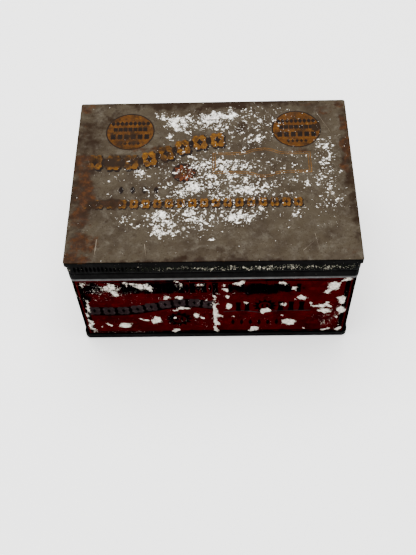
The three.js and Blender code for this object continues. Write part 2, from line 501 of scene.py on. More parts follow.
class Ink(Enum):
    """Every finish that a face of the tin can have."""

    # Grey-brown varnished ground: dull and mottled, with crisp whitish specks where it has flaked.
    GROUND = Lithograph("printed_ground_varnished", "#383024", "#241a10", "#474137", **FINE_CHIPS)
    # Dull gold ink of the ornament rows, browner in patches.
    GILT = Lithograph("printed_gilt_ink", "#4f3004", "#271603", "#7a510b", mottle_mm=3.5, **FINE_CHIPS)
    # Old gold of the two medals, a little deeper than the rows.
    MEDAL = Lithograph("printed_dull_gold_ink", "#432502", "#221202", "#5f3b06", mottle_mm=4, **FINE_CHIPS)
    # Pale thin lines where the varnish is scored.
    SCRATCH = Lithograph("scratched_varnish", "#71675a", "#4a4238", "#8b8273", **FINE_CHIPS)
    # Near-black brown that rims and backs the gold.
    OUTLINE = Lithograph("printed_dark_brown_ink", "#0d0603", "#060201", "#180b05", **FINE_CHIPS)
    # Reddish gold of the rosette.
    ROSE = Lithograph("printed_red_gold_ink", "#54240a", "#300f0a", "#693813", mottle_mm=3, **FINE_CHIPS)
    # Thin worn gold line round the empty cartouche.
    LINE = Lithograph("printed_old_gold_line", "#5a3a10", "#36220a", "#744f18", mottle_mm=3, **FINE_CHIPS)
    # Deep crimson-brown field with ragged cream chips.
    MAROON = Lithograph("printed_maroon_ink", "#300001", "#120001", "#430002", grime="#020001", **BIG_CHIPS)
    # Dark warm slate of the waving ribbon, a shade lighter than black.
    RIBBON = Lithograph("printed_slate_ink", "#231a1b", "#110c0d", "#31282a", grime="#040304", **BIG_CHIPS)
    # Soft black of the borders, posts and dark rows.
    BLACK = Lithograph("printed_black_ink", "#020101", "#000000", "#060203", grime="#000000", **BIG_CHIPS)
    # Black stoving varnish that gives back almost no light, with a few pale nicks.
    JAPAN = Lithograph(
        "japanned_black_varnish", "#010101", "#000000", "#040404", chip="#8f8f7c", rust="#1c1108",
        grime="#000000", chip_mm=0.9, bare=0.74, full=0.42, specular=0.01,
    )
    # Grey-green upright strokes, rubbed to pale specks.
    STROKE = Lithograph(
        "printed_grey_green_ink", "#0e100c", "#030403", "#20221c", chip="#b4b2a0", rust="#1c1108",
        grime="#010101", chip_mm=0.7, bare=0.7, full=0.41, mottle_mm=4, specular=0.0,
    )
    # Grey tinplate with a soft spangle and faint brown stains.
    TIN = BareMetal("dull_tinplate", "#7f7b74", "#5f5b54", "#463b2e", 0.52, 0.45)
    # Dull tinplate of the hem's fold, painted dark: painted shade for the dim light under the lid's edge. Its
    # metal still catches one thin soft line of light.
    SHADED_FOLD = BareMetal("shaded_tinplate_fold", "#2b2a2a", "#1c1b1b", "#0e0b0a", 0.55, 0.5, metallic=0.3)
    # Blotchy dull solder over the hinge plates.
    HINGE = BareMetal("soldered_hinge_plate", "#5e5a52", "#3f3a33", "#1c120a", 0.40, 0.5, 2.2)
    # Dull iron wire with brown specks.
    WIRE = BareMetal("iron_wire", "#7a756e", "#5a544c", "#3a2414", 0.45, 0.45, 1.0)

    def material(self) -> bpy.types.Material:
        """The finish's material, made the first time it is asked for."""
        return bpy.data.materials.get(self.value.name) or self.value.build()


# ---------------------------------------------------------------- meshes


@dataclass
class Sheet:
    """A mesh in the making: points in millimetres, and faces with the ink of each."""

    points: list[Vector] = field(default_factory=list)
    faces: list[tuple[int, ...]] = field(default_factory=list)
    inks: list[Ink] = field(default_factory=list)

    def add(self, points: Sequence[Vector], faces: Sequence[Sequence[int]], inks: Sequence[Ink]) -> None:
        """Adds faces whose indices count from the first of these points."""
        start = len(self.points)
        self.points.extend(points)
        self.faces.extend(tuple(start + i for i in face) for face in faces)
        self.inks.extend(inks)

    def finish(
        self,
        name: str,
        body: Body,
        slot: Slot,
        replaces: Sequence[str] = (),
        smooth_deg: float = 40.0,
        modifiers: Callable[[bpy.types.Object], None] | None = None,
    ) -> bpy.types.Object:
        """Turns the sheet into a piece of the tin.

        Args:
            name: The piece's name.
            body: The body that it rides on.
            slot: The record's material slot; not used.
            replaces: The CAD nodes that it stands for.
            smooth_deg: Edges flatter than this are shaded smooth.
            modifiers: Adds modifiers to the object before it is made plain.

        Returns:
            The piece.
        """
        mesh = bpy.data.meshes.new(name)
        mesh.from_pydata([point * MM for point in self.points], [], self.faces)
        inks = list(dict.fromkeys(self.inks))
        for ink in inks:
            mesh.materials.append(ink.material())
        mesh.polygons.foreach_set("material_index", [inks.index(ink) for ink in self.inks])
        tidy = bmesh.new()
        tidy.from_mesh(mesh)
        bmesh.ops.remove_doubles(tidy, verts=tidy.verts, dist=0.002 * MM)
        tidy.to_mesh(mesh)
        tidy.free()
        piece = bpy.data.objects.new(name, mesh)
        bpy.context.scene.collection.objects.link(piece)
        if modifiers:
            modifiers(piece)
            bake_modifiers(piece)
        piece.data.shade_smooth()
        piece.data.set_sharp_from_angle(angle=math.radians(smooth_deg))
        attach(piece, body.value)
        if replaces:
            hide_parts(*replaces)
        LOG.info("%s: %d faces on %s", name, len(piece.data.polygons), body.value)
        return piece


def bake_modifiers(piece: bpy.types.Object) -> None:
    """Replaces an object's mesh by what its modifiers make of it, and removes them."""
    graph = bpy.context.evaluated_depsgraph_get()
    mesh = bpy.data.meshes.new_from_object(piece.evaluated_get(graph), depsgraph=graph)
    piece.modifiers.clear()
    piece.data = mesh


@dataclass(frozen=True)
class RingSteps:
    """How finely a rounded rectangle is divided."""

    along_x: int = 44
    along_y: int = 32
    corner: int = 8


def ring(half_x: float, half_y: float, radius: float, z: float, steps: RingSteps) -> list[Vector]:
    """One level of a rounded rectangle, anticlockwise from the left end of its front side.

    Args:
        half_x: Half its width.
        half_y: Half its depth.
        radius: Radius of its corners.
        z: Its height.
        steps: How finely it is divided.

    Returns:
        Its points.
    """
    reach_x, reach_y = half_x - radius, half_y - radius
    sides = (
        ((-reach_x, -half_y), (reach_x, -half_y), (reach_x, -reach_y), -90, steps.along_x),
        ((half_x, -reach_y), (half_x, reach_y), (reach_x, reach_y), 0, steps.along_y),
        ((reach_x, half_y), (-reach_x, half_y), (-reach_x, reach_y), 90, steps.along_x),
        ((-half_x, reach_y), (-half_x, -reach_y), (-reach_x, -reach_y), 180, steps.along_y),
    )
    points = []
    for start, end, centre, first_deg, count in sides:
        for i in range(count + 1):
            share = i / count
            points.append(Vector((*(a + (b - a) * share for a, b in zip(start, end)), z)))
        for i in range(1, steps.corner):
            turn = math.radians(first_deg + 90 * i / steps.corner)
            points.append(
                Vector((centre[0] + radius * math.cos(turn), centre[1] + radius * math.sin(turn), z))
            )
    return points


def rings(
    sizes: TinSizes, section: Sequence[Point], steps: RingSteps, most: float = math.inf
) -> list[list[Vector]]:
    """One ring for each inset and height of a section.

    Args:
        sizes: The tin's sizes.
        section: The insets and heights.
        steps: How finely the rings are divided.
        most: The inset past which the corner radius stays the same.

    Returns:
        The rings.
    """
    return [
        ring(sizes.half_x - step, sizes.half_y - step, sizes.corner(min(step, most)), z, steps)
        for step, z in section
    ]


def skin(
    sheet: Sheet,
    levels: Sequence[Sequence[Vector]],
    inks: Sequence[Ink],
    closed: bool,
    window: tuple[range, set[int]] | None = None,
) -> None:
    """Joins each level to the next by a row of faces, outside upwards and inside downwards.

    Args:
        sheet: The sheet that gets the faces.
        levels: Levels with the same number of points.
        inks: The ink of each row.
        closed: Whether the last level is joined to the first.
        window: Rows and columns of faces to leave out.
    """
    count = len(levels[0])
    rows = len(levels) if closed else len(levels) - 1
    faces, face_inks = [], []
    for row in range(rows):
        here, there = row * count, (row + 1) % len(levels) * count
        for i in range(count):
            if window and row in window[0] and i in window[1]:
                continue
            j = (i + 1) % count
            faces.append((here + i, here + j, there + j, there + i))
            face_inks.append(inks[row])
    sheet.add([point for level in levels for point in level], faces, face_inks)


def cap(sheet: Sheet, level: Sequence[Vector], ink: Ink, upwards: bool) -> None:
    """Closes a level with one flat face."""
    order = range(len(level)) if upwards else reversed(range(len(level)))
    sheet.add(level, [tuple(order)], [ink])


def arc(centre: Point, radius: float, start_deg: float, end_deg: float, steps: int = 6) -> list[Point]:
    """Points of an arc from one angle to another."""
    turns = [math.radians(start_deg + (end_deg - start_deg) * i / steps) for i in range(steps + 1)]
    return [(centre[0] + radius * math.cos(t), centre[1] + radius * math.sin(t)) for t in turns]


def smooth(value: float, low: float, high: float) -> float:
    """A smooth step from 0 at low to 1 at high."""
    share = min(max((value - low) / (high - low), 0.0), 1.0)
    return share * share * (3 - 2 * share)


# ---------------------------------------------------------------- wear


@dataclass(frozen=True)
class Spot:
    """A soft oval patch of wear on a flat face, in millimetres across and up the face."""

    x: float
    y: float
    reach_x: float
    reach_y: float
    strength: float = 1.0
    turn_deg: float = 0.0

    def at(self, across: np.ndarray, up: np.ndarray) -> np.ndarray:
        """How strong the wear is at each place.

        Args:
            across: Coordinates across the face.
            up: Coordinates up the face.

        Returns:
            The strength, 0 outside the patch.
        """
        turn = math.radians(self.turn_deg)
        dx, dy = across - self.x, up - self.y
        u = (dx * math.cos(turn) + dy * math.sin(turn)) / self.reach_x
        v = (dy * math.cos(turn) - dx * math.sin(turn)) / self.reach_y
        share = np.clip(1.35 - np.hypot(u, v), 0, 1)
        return self.strength * share * share * (3 - 2 * share)


WARP_MM = 2.0  # how far the outline of a patch strays


def spots(corner: Point, rows: Sequence[tuple[float, ...]]) -> list[Spot]:
    """Makes a spot of each row of numbers, whose place is measured right and down from a corner."""
    return [Spot(corner[0] + row[0], corner[1] - row[1], *row[2:]) for row in rows]


def strongest(patches: Sequence[Spot], across: np.ndarray, up: np.ndarray) -> np.ndarray:
    """The strongest of many patches at each place, with ragged outlines and uneven inside."""

    def uneven(size_mm: float, layer: float) -> np.ndarray:
        """Smooth noise, about -1 to 1, with cells of this size."""
        return np.array([noise.noise(Vector((x / size_mm, y / size_mm, layer))) for x, y in zip(across, up)])

    shifted, raised = across + WARP_MM * uneven(3.0, 3.0), up + WARP_MM * uneven(3.0, 17.0)
    total = np.zeros(len(across))
    for patch in patches:
        total = np.maximum(total, patch.at(shifted, raised))
    return total * (1 + 0.3 * uneven(4.5, 9.0))


def wall_wear(at: np.ndarray, patches: dict, sizes: TinSizes) -> np.ndarray:
    """The strongest patch of wear at each place on upright walls.

    Args:
        at: The places, in millimetres.
        patches: For each side, its patches.
        sizes: The tin's sizes.

    Returns:
        The strength of the wear.
    """
    total = np.zeros(len(at))
    for side in Side:
        out, across = {
            Side.FRONT: (-at[:, 1] - sizes.half_y, at[:, 0]),
            Side.RIGHT: (at[:, 0] - sizes.half_x, at[:, 1]),
            Side.BACK: (at[:, 1] - sizes.half_y, -at[:, 0]),
            Side.LEFT: (-at[:, 0] - sizes.half_x, -at[:, 1]),
        }[side]
        here = strongest(patches.get(side, ()), across, at[:, 2])
        total = np.where(out > -2.6, np.maximum(total, here), total)
    return total


def write_wear(piece: bpy.types.Object, layers: dict[str, Callable[[np.ndarray], np.ndarray]]) -> None:
    """Stores how worn each point of a piece is, for its finishes to read.

    Args:
        piece: The piece.
        layers: For each attribute, a function of the points in millimetres.
    """
    count = len(piece.data.vertices)
    places = np.zeros(count * 3, np.float32)
    piece.data.vertices.foreach_get("co", places)
    places = places.reshape(-1, 3) / MM
    for name, rule in layers.items():
        data = piece.data.attributes.new(name, "FLOAT", "POINT")
        data.data.foreach_set("value", np.clip(rule(places), 0, 1).astype(np.float32))


def wear_walls(piece: bpy.types.Object, sizes: TinSizes, layers: dict[str, dict]) -> None:
    """Stores the wear of upright walls.

    Args:
        piece: The piece.
        sizes: The tin's sizes.
        layers: For each attribute, the patches of each side.
    """
    write_wear(
        piece,
        {
            name: lambda at, patches=patches: wall_wear(at, patches, sizes)
            for name, patches in layers.items()
        },
    )


# ---------------------------------------------------------------- print


@dataclass(frozen=True)
class Shape:
    """A closed outline of one ink on a flat face, in millimetres."""

    outline: list[Point]
    ink: Ink


class Motif(Enum):
    """The generic forms that the print is made of, each one unit across."""

    LOZENGE = "lozenge"
    LEAF = "leaf"
    BAR = "bar"
    SCALLOP = "scallop"
    TABLET = "tablet"

    def outline(self) -> list[Point]:
        """The form's outline, anticlockwise."""
        if self is Motif.LOZENGE:
            upper = [(0.5, 0), (0.2, 0.2), (0, 0.5), (-0.2, 0.2)]
            return upper + [(-x, -y) for x, y in upper]
        if self is Motif.BAR:
            return [(-0.5, -0.5), (0.5, -0.5), (0.36, 0), (0.5, 0.5), (-0.5, 0.5), (-0.36, 0)]
        if self is Motif.TABLET:
            corner = [(0.5, 0.3), (0.4, 0.36), (0.36, 0.5), (0.14, 0.5), (0, 0.42)]
            right = [*[(x, -y) for x, y in reversed(corner)], (0.42, 0), *corner]
            return right + [(-x, y) for x, y in reversed(right)][1:-1]
        if self is Motif.LEAF:
            rise = [(math.sin(math.pi * i / 8) * 0.5, i / 8 - 0.5) for i in range(9)]
            return rise + [(-x, -y) for x, y in rise[1:-1]]
        lobes, depth, steps = 12, 0.07, 84
        points = []
        for i in range(steps):
            turn = 2 * math.pi * i / steps
            reach = 0.5 - depth + depth * math.cos(lobes * turn)
            points.append((reach * math.cos(turn), reach * math.sin(turn)))
        return points

    def object(self) -> bpy.types.Object:
        """The form as a flat object that Geometry Nodes can repeat."""
        name = f"motif_{self.value}"
        if name not in bpy.data.objects:
            points = self.outline()
            mesh = bpy.data.meshes.new(name)
            mesh.from_pydata([(x, y, 0) for x, y in points], [], [tuple(range(len(points)))])
            bpy.data.objects.new(name, mesh)
        return bpy.data.objects[name]


class MotifRow:
    """A Geometry Nodes tree that sets one motif along a path, with named inputs for its sizes."""

    INPUTS = (
        ("Motif", "NodeSocketObject", None),
        ("Count", "NodeSocketInt", 8),
        ("Width", "NodeSocketFloat", 1.0),
        ("Height", "NodeSocketFloat", 1.0),
        ("Follow", "NodeSocketFloat", 0.0),
        ("Ink", "NodeSocketMaterial", None),
    )

    def __init__(self) -> None:
        """Builds the tree."""
        self.tree = bpy.data.node_groups.new("motif_row", "GeometryNodeTree")
        self.sockets = {}
        face = self.tree.interface
        face.new_socket("Path", in_out="INPUT", socket_type="NodeSocketGeometry")
        for name, kind, default in self.INPUTS:
            socket = face.new_socket(name, in_out="INPUT", socket_type=kind)
            if default is not None:
                socket.default_value = default
            self.sockets[name] = socket.identifier
        face.new_socket("Row", in_out="OUTPUT", socket_type="NodeSocketGeometry")
        given = add_node(self.tree, "NodeGroupInput")
        dots = add_node(
            self.tree,
            "GeometryNodeCurveToPoints",
            {"mode": "COUNT"},
            {"Curve": given.outputs["Path"], "Count": given.outputs["Count"]},
        )
        heading = add_node(
            self.tree,
            "FunctionNodeAlignRotationToVector",
            {"axis": "X", "pivot_axis": "Z"},
            {"Factor": given.outputs["Follow"], "Vector": dots.outputs["Tangent"]},
        )
        size = add_node(
            self.tree,
            "ShaderNodeCombineXYZ",
            None,
            {"X": given.outputs["Width"], "Y": given.outputs["Height"], "Z": 1.0},
        )
        motif = add_node(self.tree, "GeometryNodeObjectInfo", None, {"Object": given.outputs["Motif"]})
        row = add_node(
            self.tree,
            "GeometryNodeInstanceOnPoints",
            None,
            {
                "Points": dots.outputs["Points"],
                "Instance": motif.outputs["Geometry"],
                "Rotation": heading.outputs[0],
                "Scale": size.outputs[0],
            },
        )
        real = add_node(self.tree, "GeometryNodeRealizeInstances", None, {0: row.outputs[0]})
        inked = add_node(
            self.tree,
            "GeometryNodeSetMaterial",
            None,
            {"Geometry": real.outputs[0], "Material": given.outputs["Ink"]},
        )
        add_node(self.tree, "NodeGroupOutput", None, {0: inked.outputs[0]})

    def shapes(
        self,
        path: Sequence[Point],
        motif: Motif,
        count: int,
        size: Point,
        ink: Ink,
        follow: float = 0.0,
    ) -> list[Shape]:
        """Sets a motif along a path.

        Args:
            path: Points of the path, in millimetres.
            motif: The form that is repeated.
            count: How many there are, the first and last at the path's ends.
            size: Width and height of each.
            ink: What they are printed with.
            follow: 1 turns each with the path, 0 keeps it upright.

        Returns:
            The outlines.
        """
        curve = bpy.data.curves.new("path", "CURVE")
        curve.dimensions = "3D"
        spline = curve.splines.new("POLY")
        spline.points.add(len(path) - 1)
        for point, (x, y) in zip(spline.points, path):
            point.co = (x, y, 0, 1)
        carrier = bpy.data.objects.new("row", curve)
        bpy.context.scene.collection.objects.link(carrier)
        step = carrier.modifiers.new("row", "NODES")
        step.node_group = self.tree
        values = (motif.object(), count, size[0], size[1], follow, ink.material())
        for (name, _, _), value in zip(self.INPUTS, values):
            step[self.sockets[name]] = value
        graph = bpy.context.evaluated_depsgraph_get()
        mesh = bpy.data.meshes.new_from_object(carrier.evaluated_get(graph), depsgraph=graph)
        shapes = [
            Shape([tuple(mesh.vertices[i].co.xy) for i in face.vertices], ink) for face in mesh.polygons
        ]
        bpy.data.objects.remove(carrier)
        bpy.data.curves.remove(curve)
        bpy.data.meshes.remove(mesh)
        return shapes


def line(start: Point, end: Point, count: int = 2) -> list[Point]:
    """Points evenly along a straight line."""
    return [tuple(a + (b - a) * i / (count - 1) for a, b in zip(start, end)) for i in range(count)]


def oval(centre: Point, reach_x: float, reach_y: float, steps: int = 64) -> list[Point]:
    """Points round an oval."""
    turns = [2 * math.pi * i / steps for i in range(steps)]
    return [(centre[0] + reach_x * math.cos(t), centre[1] + reach_y * math.sin(t)) for t in turns]


def inlay(
    sheet: Sheet,
    edge: Sequence[Point],
    shapes: Sequence[Shape],
    ground: Ink,
    lift: Callable[[float, float], Vector],
    pitch: float,
) -> None:
    """Fills a flat opening with one skin in which every printed shape has faces of its own.

    Args:
        sheet: The sheet that gets the faces.
        edge: Outline of the opening, anticlockwise.
        shapes: The print, the lowest layer first.
        ground: The ink of what no shape covers.
        lift: Turns a place on the face into a point of the sheet.
        pitch: Spacing of the extra points that carry wear and dents.
    """
    places = [Vector(point) for point in edge]
    loops = [list(range(len(edge)))]
    for shape in shapes:
        loops.append(list(range(len(places), len(places) + len(shape.outline))))
        places.extend(Vector(point) for point in shape.outline)
    low = Vector((min(p[0] for p in edge), min(p[1] for p in edge)))
    high = Vector((max(p[0] for p in edge), max(p[1] for p in edge)))
    margin = pitch * 0.75
    for x in np.arange(low.x + margin, high.x - margin, pitch):
        for y in np.arange(low.y + margin, high.y - margin, pitch):
            places.append(Vector((x, y)))
    out = delaunay_2d_cdt(places, [], loops, 1, 1e-4, True)
    points = [lift(p.x, p.y) for p in out[0]]
    top_ink = [ground, *(shape.ink for shape in shapes)]
    inks = [top_ink[max(sources)] for sources in out[5]]
    sheet.add(points, out[2], inks)


# ---------------------------------------------------------------- walls


class Side(Enum):
    """The four flat sides, in the order that a ring runs through them."""

    FRONT = 0
    RIGHT = 1
    BACK = 2
    LEFT = 3

    def place(self, across: float, z: float, half_x: float, half_y: float) -> Vector:
        """Turns a place on the side, seen from outside, into a point."""
        return {
            Side.FRONT: Vector((across, -half_y, z)),
            Side.RIGHT: Vector((half_x, across, z)),
            Side.BACK: Vector((-across, half_y, z)),
            Side.LEFT: Vector((-half_x, -across, z)),
        }[self]

    def across(self, point: Vector) -> float:
        """How far across the side a point is, seen from outside."""
        return {Side.FRONT: point.x, Side.RIGHT: point.y, Side.BACK: -point.x, Side.LEFT: -point.y}[self]

    def columns(self, steps: RingSteps) -> range:
        """The columns of faces that make up the side."""
        counts = (steps.along_x, steps.along_y, steps.along_x, steps.along_y)
        start = sum(count + steps.corner for count in counts[: self.value])
        return range(start, start + counts[self.value])


def printed_band(
    sheet: Sheet,
    levels: Sequence[Sequence[Vector]],
    inks: Sequence[Ink],
    rows: range,
    steps: RingSteps,
    print_of: Callable[[Side], list[Shape]],
    ground: Ink,
    pitch: float,
) -> None:
    """Closes a band of sheet whose flat rows carry a print on all four sides.

    Args:
        sheet: The sheet that gets the faces.
        levels: The band's levels, outside upwards and inside downwards.
        inks: The ink of each row of faces.
        rows: The flat upright rows that the print replaces.
        steps: How finely the levels are divided.
        print_of: Gives the shapes of a side.
        ground: The ink between the shapes.
        pitch: Spacing of the extra points between the shapes.
    """
    columns = {side: side.columns(steps) for side in Side}
    skin(sheet, levels, inks, True, (rows, {i for side in Side for i in columns[side]}))
    half_x = max(point.x for point in levels[rows.start])
    half_y = max(point.y for point in levels[rows.start])
    for side in Side:
        first, last = columns[side].start, columns[side].stop
        loop = [levels[rows.start][i] for i in range(first, last + 1)]
        loop += [levels[row][last] for row in range(rows.start + 1, rows.stop)]
        loop += [levels[rows.stop][i] for i in range(last, first - 1, -1)]
        loop += [levels[row][first] for row in range(rows.stop - 1, rows.start, -1)]
        inlay(
            sheet,
            [(side.across(point), point.z) for point in loop],
            print_of(side),
            ground,
            lambda across, z, side=side: side.place(across, z, half_x, half_y),
            pitch,
        )


@dataclass(frozen=True)
class Dents:
    """Soft hollows and waves of a sheet. Both its faces move alike."""

    depth: float
    size: float
    seed: float
    foot: float
    head: float
    fade: float

    def amount(self, across: float, up: float) -> float:
        """Depth of the hollow at a place on a face, in millimetres."""
        wave = noise.noise(Vector((across / self.size, up / self.size, self.seed)))
        return self.depth * min(max(0.5 + 0.9 * wave, 0.0), 1.0)

    def push(self, sheet: Sheet, sizes: TinSizes) -> None:
        """Presses the upright walls of a sheet inwards.

        Args:
            sheet: The sheet, whose points move.
            sizes: The tin's sizes.
        """
        flat_x = sizes.half_x - sizes.wall_inset - sizes.body_corner
        flat_y = sizes.half_y - sizes.wall_inset - sizes.body_corner
        for point in sheet.points:
            share = smooth(point.z, self.foot, self.foot + self.fade)
            share *= 1 - smooth(point.z, self.head - self.fade, self.head)
            if share == 0:
                continue
            far_x, far_y = abs(point.x), abs(point.y)
            side_x = smooth(far_x, flat_x, flat_x + 0.5) * (1 - smooth(far_y, flat_y - 8, flat_y))
            side_y = smooth(far_y, flat_y, flat_y + 0.5) * (1 - smooth(far_x, flat_x - 8, flat_x))
            turn = math.copysign(20.0, point.x), math.copysign(40.0, point.y)
            move_x = share * side_x * self.amount(point.y + turn[0], point.z)
            move_y = share * side_y * self.amount(point.x + turn[1], point.z)
            point.x -= math.copysign(move_x, point.x)
            point.y -= math.copysign(move_y, point.y)


def heights(low: float, high: float, pitch: float) -> list[float]:
    """Heights from low to high, evenly spaced at about the pitch."""
    count = max(1, round((high - low) / pitch))
    return [low + (high - low) * i / count for i in range(count + 1)]


def box_faces(
    sheet: Sheet, low: Sequence[float], high: Sequence[float], ink: Ink, round_by: float = 0.0
) -> None:
    """Adds a closed box whose long edges along Z are rounded.

    Args:
        sheet: The sheet that gets the faces.
        low: Its low corner.
        high: Its high corner.
        ink: Its finish.
        round_by: Radius of its upright edges.
    """
    centre = ((low[0] + high[0]) / 2, (low[1] + high[1]) / 2)
    half = ((high[0] - low[0]) / 2, (high[1] - low[1]) / 2)
    corners = [(half[0], -half[1]), (half[0], half[1]), (-half[0], half[1]), (-half[0], -half[1])]
    outline = []
    for k, (x, y) in enumerate(corners):
        inner = (x - math.copysign(round_by, x), y - math.copysign(round_by, y))
        outline += arc(inner, round_by, -90 + 90 * k, 90 * k, 4) if round_by else [(x, y)]
    levels = [
        [Vector((centre[0] + x, centre[1] + y, z)) for x, y in outline] for z in heights(low[2], high[2], 2.4)
    ]
    cap(sheet, levels[0], ink, False)
    skin(sheet, levels, [ink] * len(levels), False)
    cap(sheet, levels[-1], ink, True)


# ---------------------------------------------------------------- lid top print


def inset(outline: Sequence[Point], distance: float) -> list[Point]:
    """Moves an anticlockwise outline inwards."""
    moved = []
    for i, here in enumerate(outline):
        before, after = outline[i - 1], outline[(i + 1) % len(outline)]
        a = Vector((here[0] - before[0], here[1] - before[1])).normalized()
        b = Vector((after[0] - here[0], after[1] - here[1])).normalized()
        normal = Vector((-(a.y + b.y), a.x + b.x)).normalized()
        reach = distance / max(0.5, normal.dot(Vector((-a.y, a.x))))
        moved.append((here[0] + normal.x * reach, here[1] + normal.y * reach))
    return moved


def curve_through(points: Sequence[Point], steps: int = 8) -> list[Point]:
    """A smooth path through points."""
    path = []
    ends = [points[0], *points, points[-1]]
    for a, b, c, d in zip(ends, ends[1:], ends[2:], ends[3:]):
        for i in range(steps):
            t = i / steps
            path.append(
                tuple(
                    0.5 * (
                        2 * q + (r - p) * t + (2 * p - 5 * q + 4 * r - s) * t**2
                        + (3 * q - p - 3 * r + s) * t**3
                    )
                    for p, q, r, s in zip(a, b, c, d)
                )
            )
    return [*path, points[-1]]


def ribbon(path: Sequence[Point], height: float) -> list[Point]:
    """The outline of a strip of even height that follows a path from left to right."""
    lower = [(x, y - height / 2) for x, y in path]
    upper = [(x, y + height / 2) for x, y in path]
    return lower + upper[::-1]


@dataclass(frozen=True)
class LidPrint:
    """The gilt ornament on the lid's top."""

    rows: MotifRow
    medal_centres: tuple[Point, ...] = ((-34.5, 24.8), (34.9, 25.0))
    medal_radius: float = 9.9
    arch: tuple[Point, ...] = (
        (-48, 8.2), (-38, 7.8), (-29.5, 8.6), (-21.5, 11.5), (-13, 15.4), (-5.5, 18.3), (2, 19.6),
    )
    band: tuple[Point, Point] = ((-49.5, -13.6), (33.5, -13.4))
    rosette_centre: Point = (-11.6, 2.0)
    label_corner: Point = (0.0, 1.2)

    # Start, end and width of each score in the varnish.
    SCRATCHES = (
        ((-44.4, -30.5), (-44.8, -39.0), 0.35), ((39, -29), (40.2, -38), 0.12),
        ((34, -37), (39.5, -31.5), 0.14), ((44, 34), (49.6, 21.5), 0.2),
        ((-26, -33), (-25.2, -39.4), 0.22), ((14, -33), (29, -35.2), 0.2), ((-52, 12), (-49, 4), 0.25),
        ((46, -8), (51, -17), 0.2),
    )

    def medal(self, centre: Point) -> list[Shape]:
        """A gilt disc with a dark rim and four rows of small marks."""
        x, y = centre
        shapes = [
            Shape(oval(centre, self.medal_radius + 0.3, self.medal_radius + 0.3), Ink.OUTLINE),
            Shape(oval(centre, self.medal_radius - 0.2, self.medal_radius - 0.2), Ink.MEDAL),
        ]
        for rise, reach, count, size, motif in (
            (4.6, 7.3, 9, (1.7, 2.5), Motif.LEAF),
            (1.2, 6.2, 7, (2.0, 2.2), Motif.TABLET),
            (-2.9, 7.0, 6, (2.2, 2.8), Motif.TABLET),
            (-6.6, 3.6, 5, (1.6, 2.2), Motif.LOZENGE),
        ):
            path = line((x - reach, y + rise), (x + reach, y + rise))
            shapes += self.rows.shapes(path, motif, count, size, Ink.OUTLINE)
        return shapes

    def gilt_row(self, path: Sequence[Point], count: int, size: Point, follow: float) -> list[Shape]:
        """Gilt tablets, each on a dark shadow, with roundels between and dark hearts."""
        width, height = size
        drop = [(x + 0.06 * height, y - 0.09 * height) for x, y in path]
        shapes = [Shape(ribbon(path if len(path) > 2 else line(*path, 9), height * 0.5), Ink.OUTLINE)]
        for ink, grow, way in ((Ink.OUTLINE, 1.13, drop), (Ink.GILT, 1.0, path)):
            tablet = (width * grow, height * grow)
            shapes += self.rows.shapes(way, Motif.TABLET, count, tablet, ink, follow)
        heart = (width * 0.5, height * 0.6)
        return shapes + self.rows.shapes(path, Motif.LOZENGE, count, heart, Ink.OUTLINE, follow)

    def rosette(self) -> list[Shape]:
        """Petals round a small disc."""
        x, y = self.rosette_centre
        shapes = [Shape(oval((x, y), 4.9, 4.9), Ink.OUTLINE)]
        around = oval((x, y), 2.9, 2.9, 48)
        shapes += self.rows.shapes([*around, around[0]], Motif.LEAF, 11, (1.7, 3.6), Ink.ROSE, 1.0)
        return [*shapes, Shape(oval((x, y), 1.2, 1.2, 24), Ink.GILT)]

    def cartouche(self) -> list[Shape]:
        """An empty label with a double frame, swelling upwards and downwards."""
        left, foot = self.label_corner
        lower = [
            (0, 0), (8, 0.1), (12, -0.1), (15.5, -0.8), (19, -2.1), (22.5, -2.0), (27, -0.3), (32, 0.1),
            (40, 0.3),
        ]
        upper = [
            (40, 11.3), (33, 11.2), (28, 11.4), (24.5, 12.9), (21, 13.6), (16.5, 13.0), (12, 11.5),
            (0, 11.3),
        ]
        outline = [(left + x, foot + y) for x, y in [*curve_through(lower, 5), *curve_through(upper, 5)]]
        shapes = []
        for distance, ink in ((0, Ink.LINE), (0.35, Ink.GROUND), (0.95, Ink.LINE), (1.25, Ink.GROUND)):
            shapes.append(Shape(inset(outline, distance), ink))
        return shapes

    def shapes(self) -> list[Shape]:
        """The whole print, the lowest layer first."""
        shapes = self.cartouche()
        shapes += [shape for centre in self.medal_centres for shape in self.medal(centre)]
        shapes += self.gilt_row(curve_through(self.arch), 8, (5.9, 7.6), 0.6)
        shapes += self.gilt_row(self.band, 19, (3.5, 4.3), 0.0)
        shapes += self.rosette()
        shapes += self.rows.shapes(line((-36.5, -6.6), (-22.5, -6.6)), Motif.LEAF, 4, (2.0, 4.0), Ink.OUTLINE)
        for start, end, width in self.SCRATCHES:
            tip = [(start[0] + width / 2, start[1]), (start[0] - width / 2, start[1])]
            shapes.append(Shape([*(tip if end[1] < start[1] else tip[::-1]), end], Ink.SCRATCH))
        return shapes


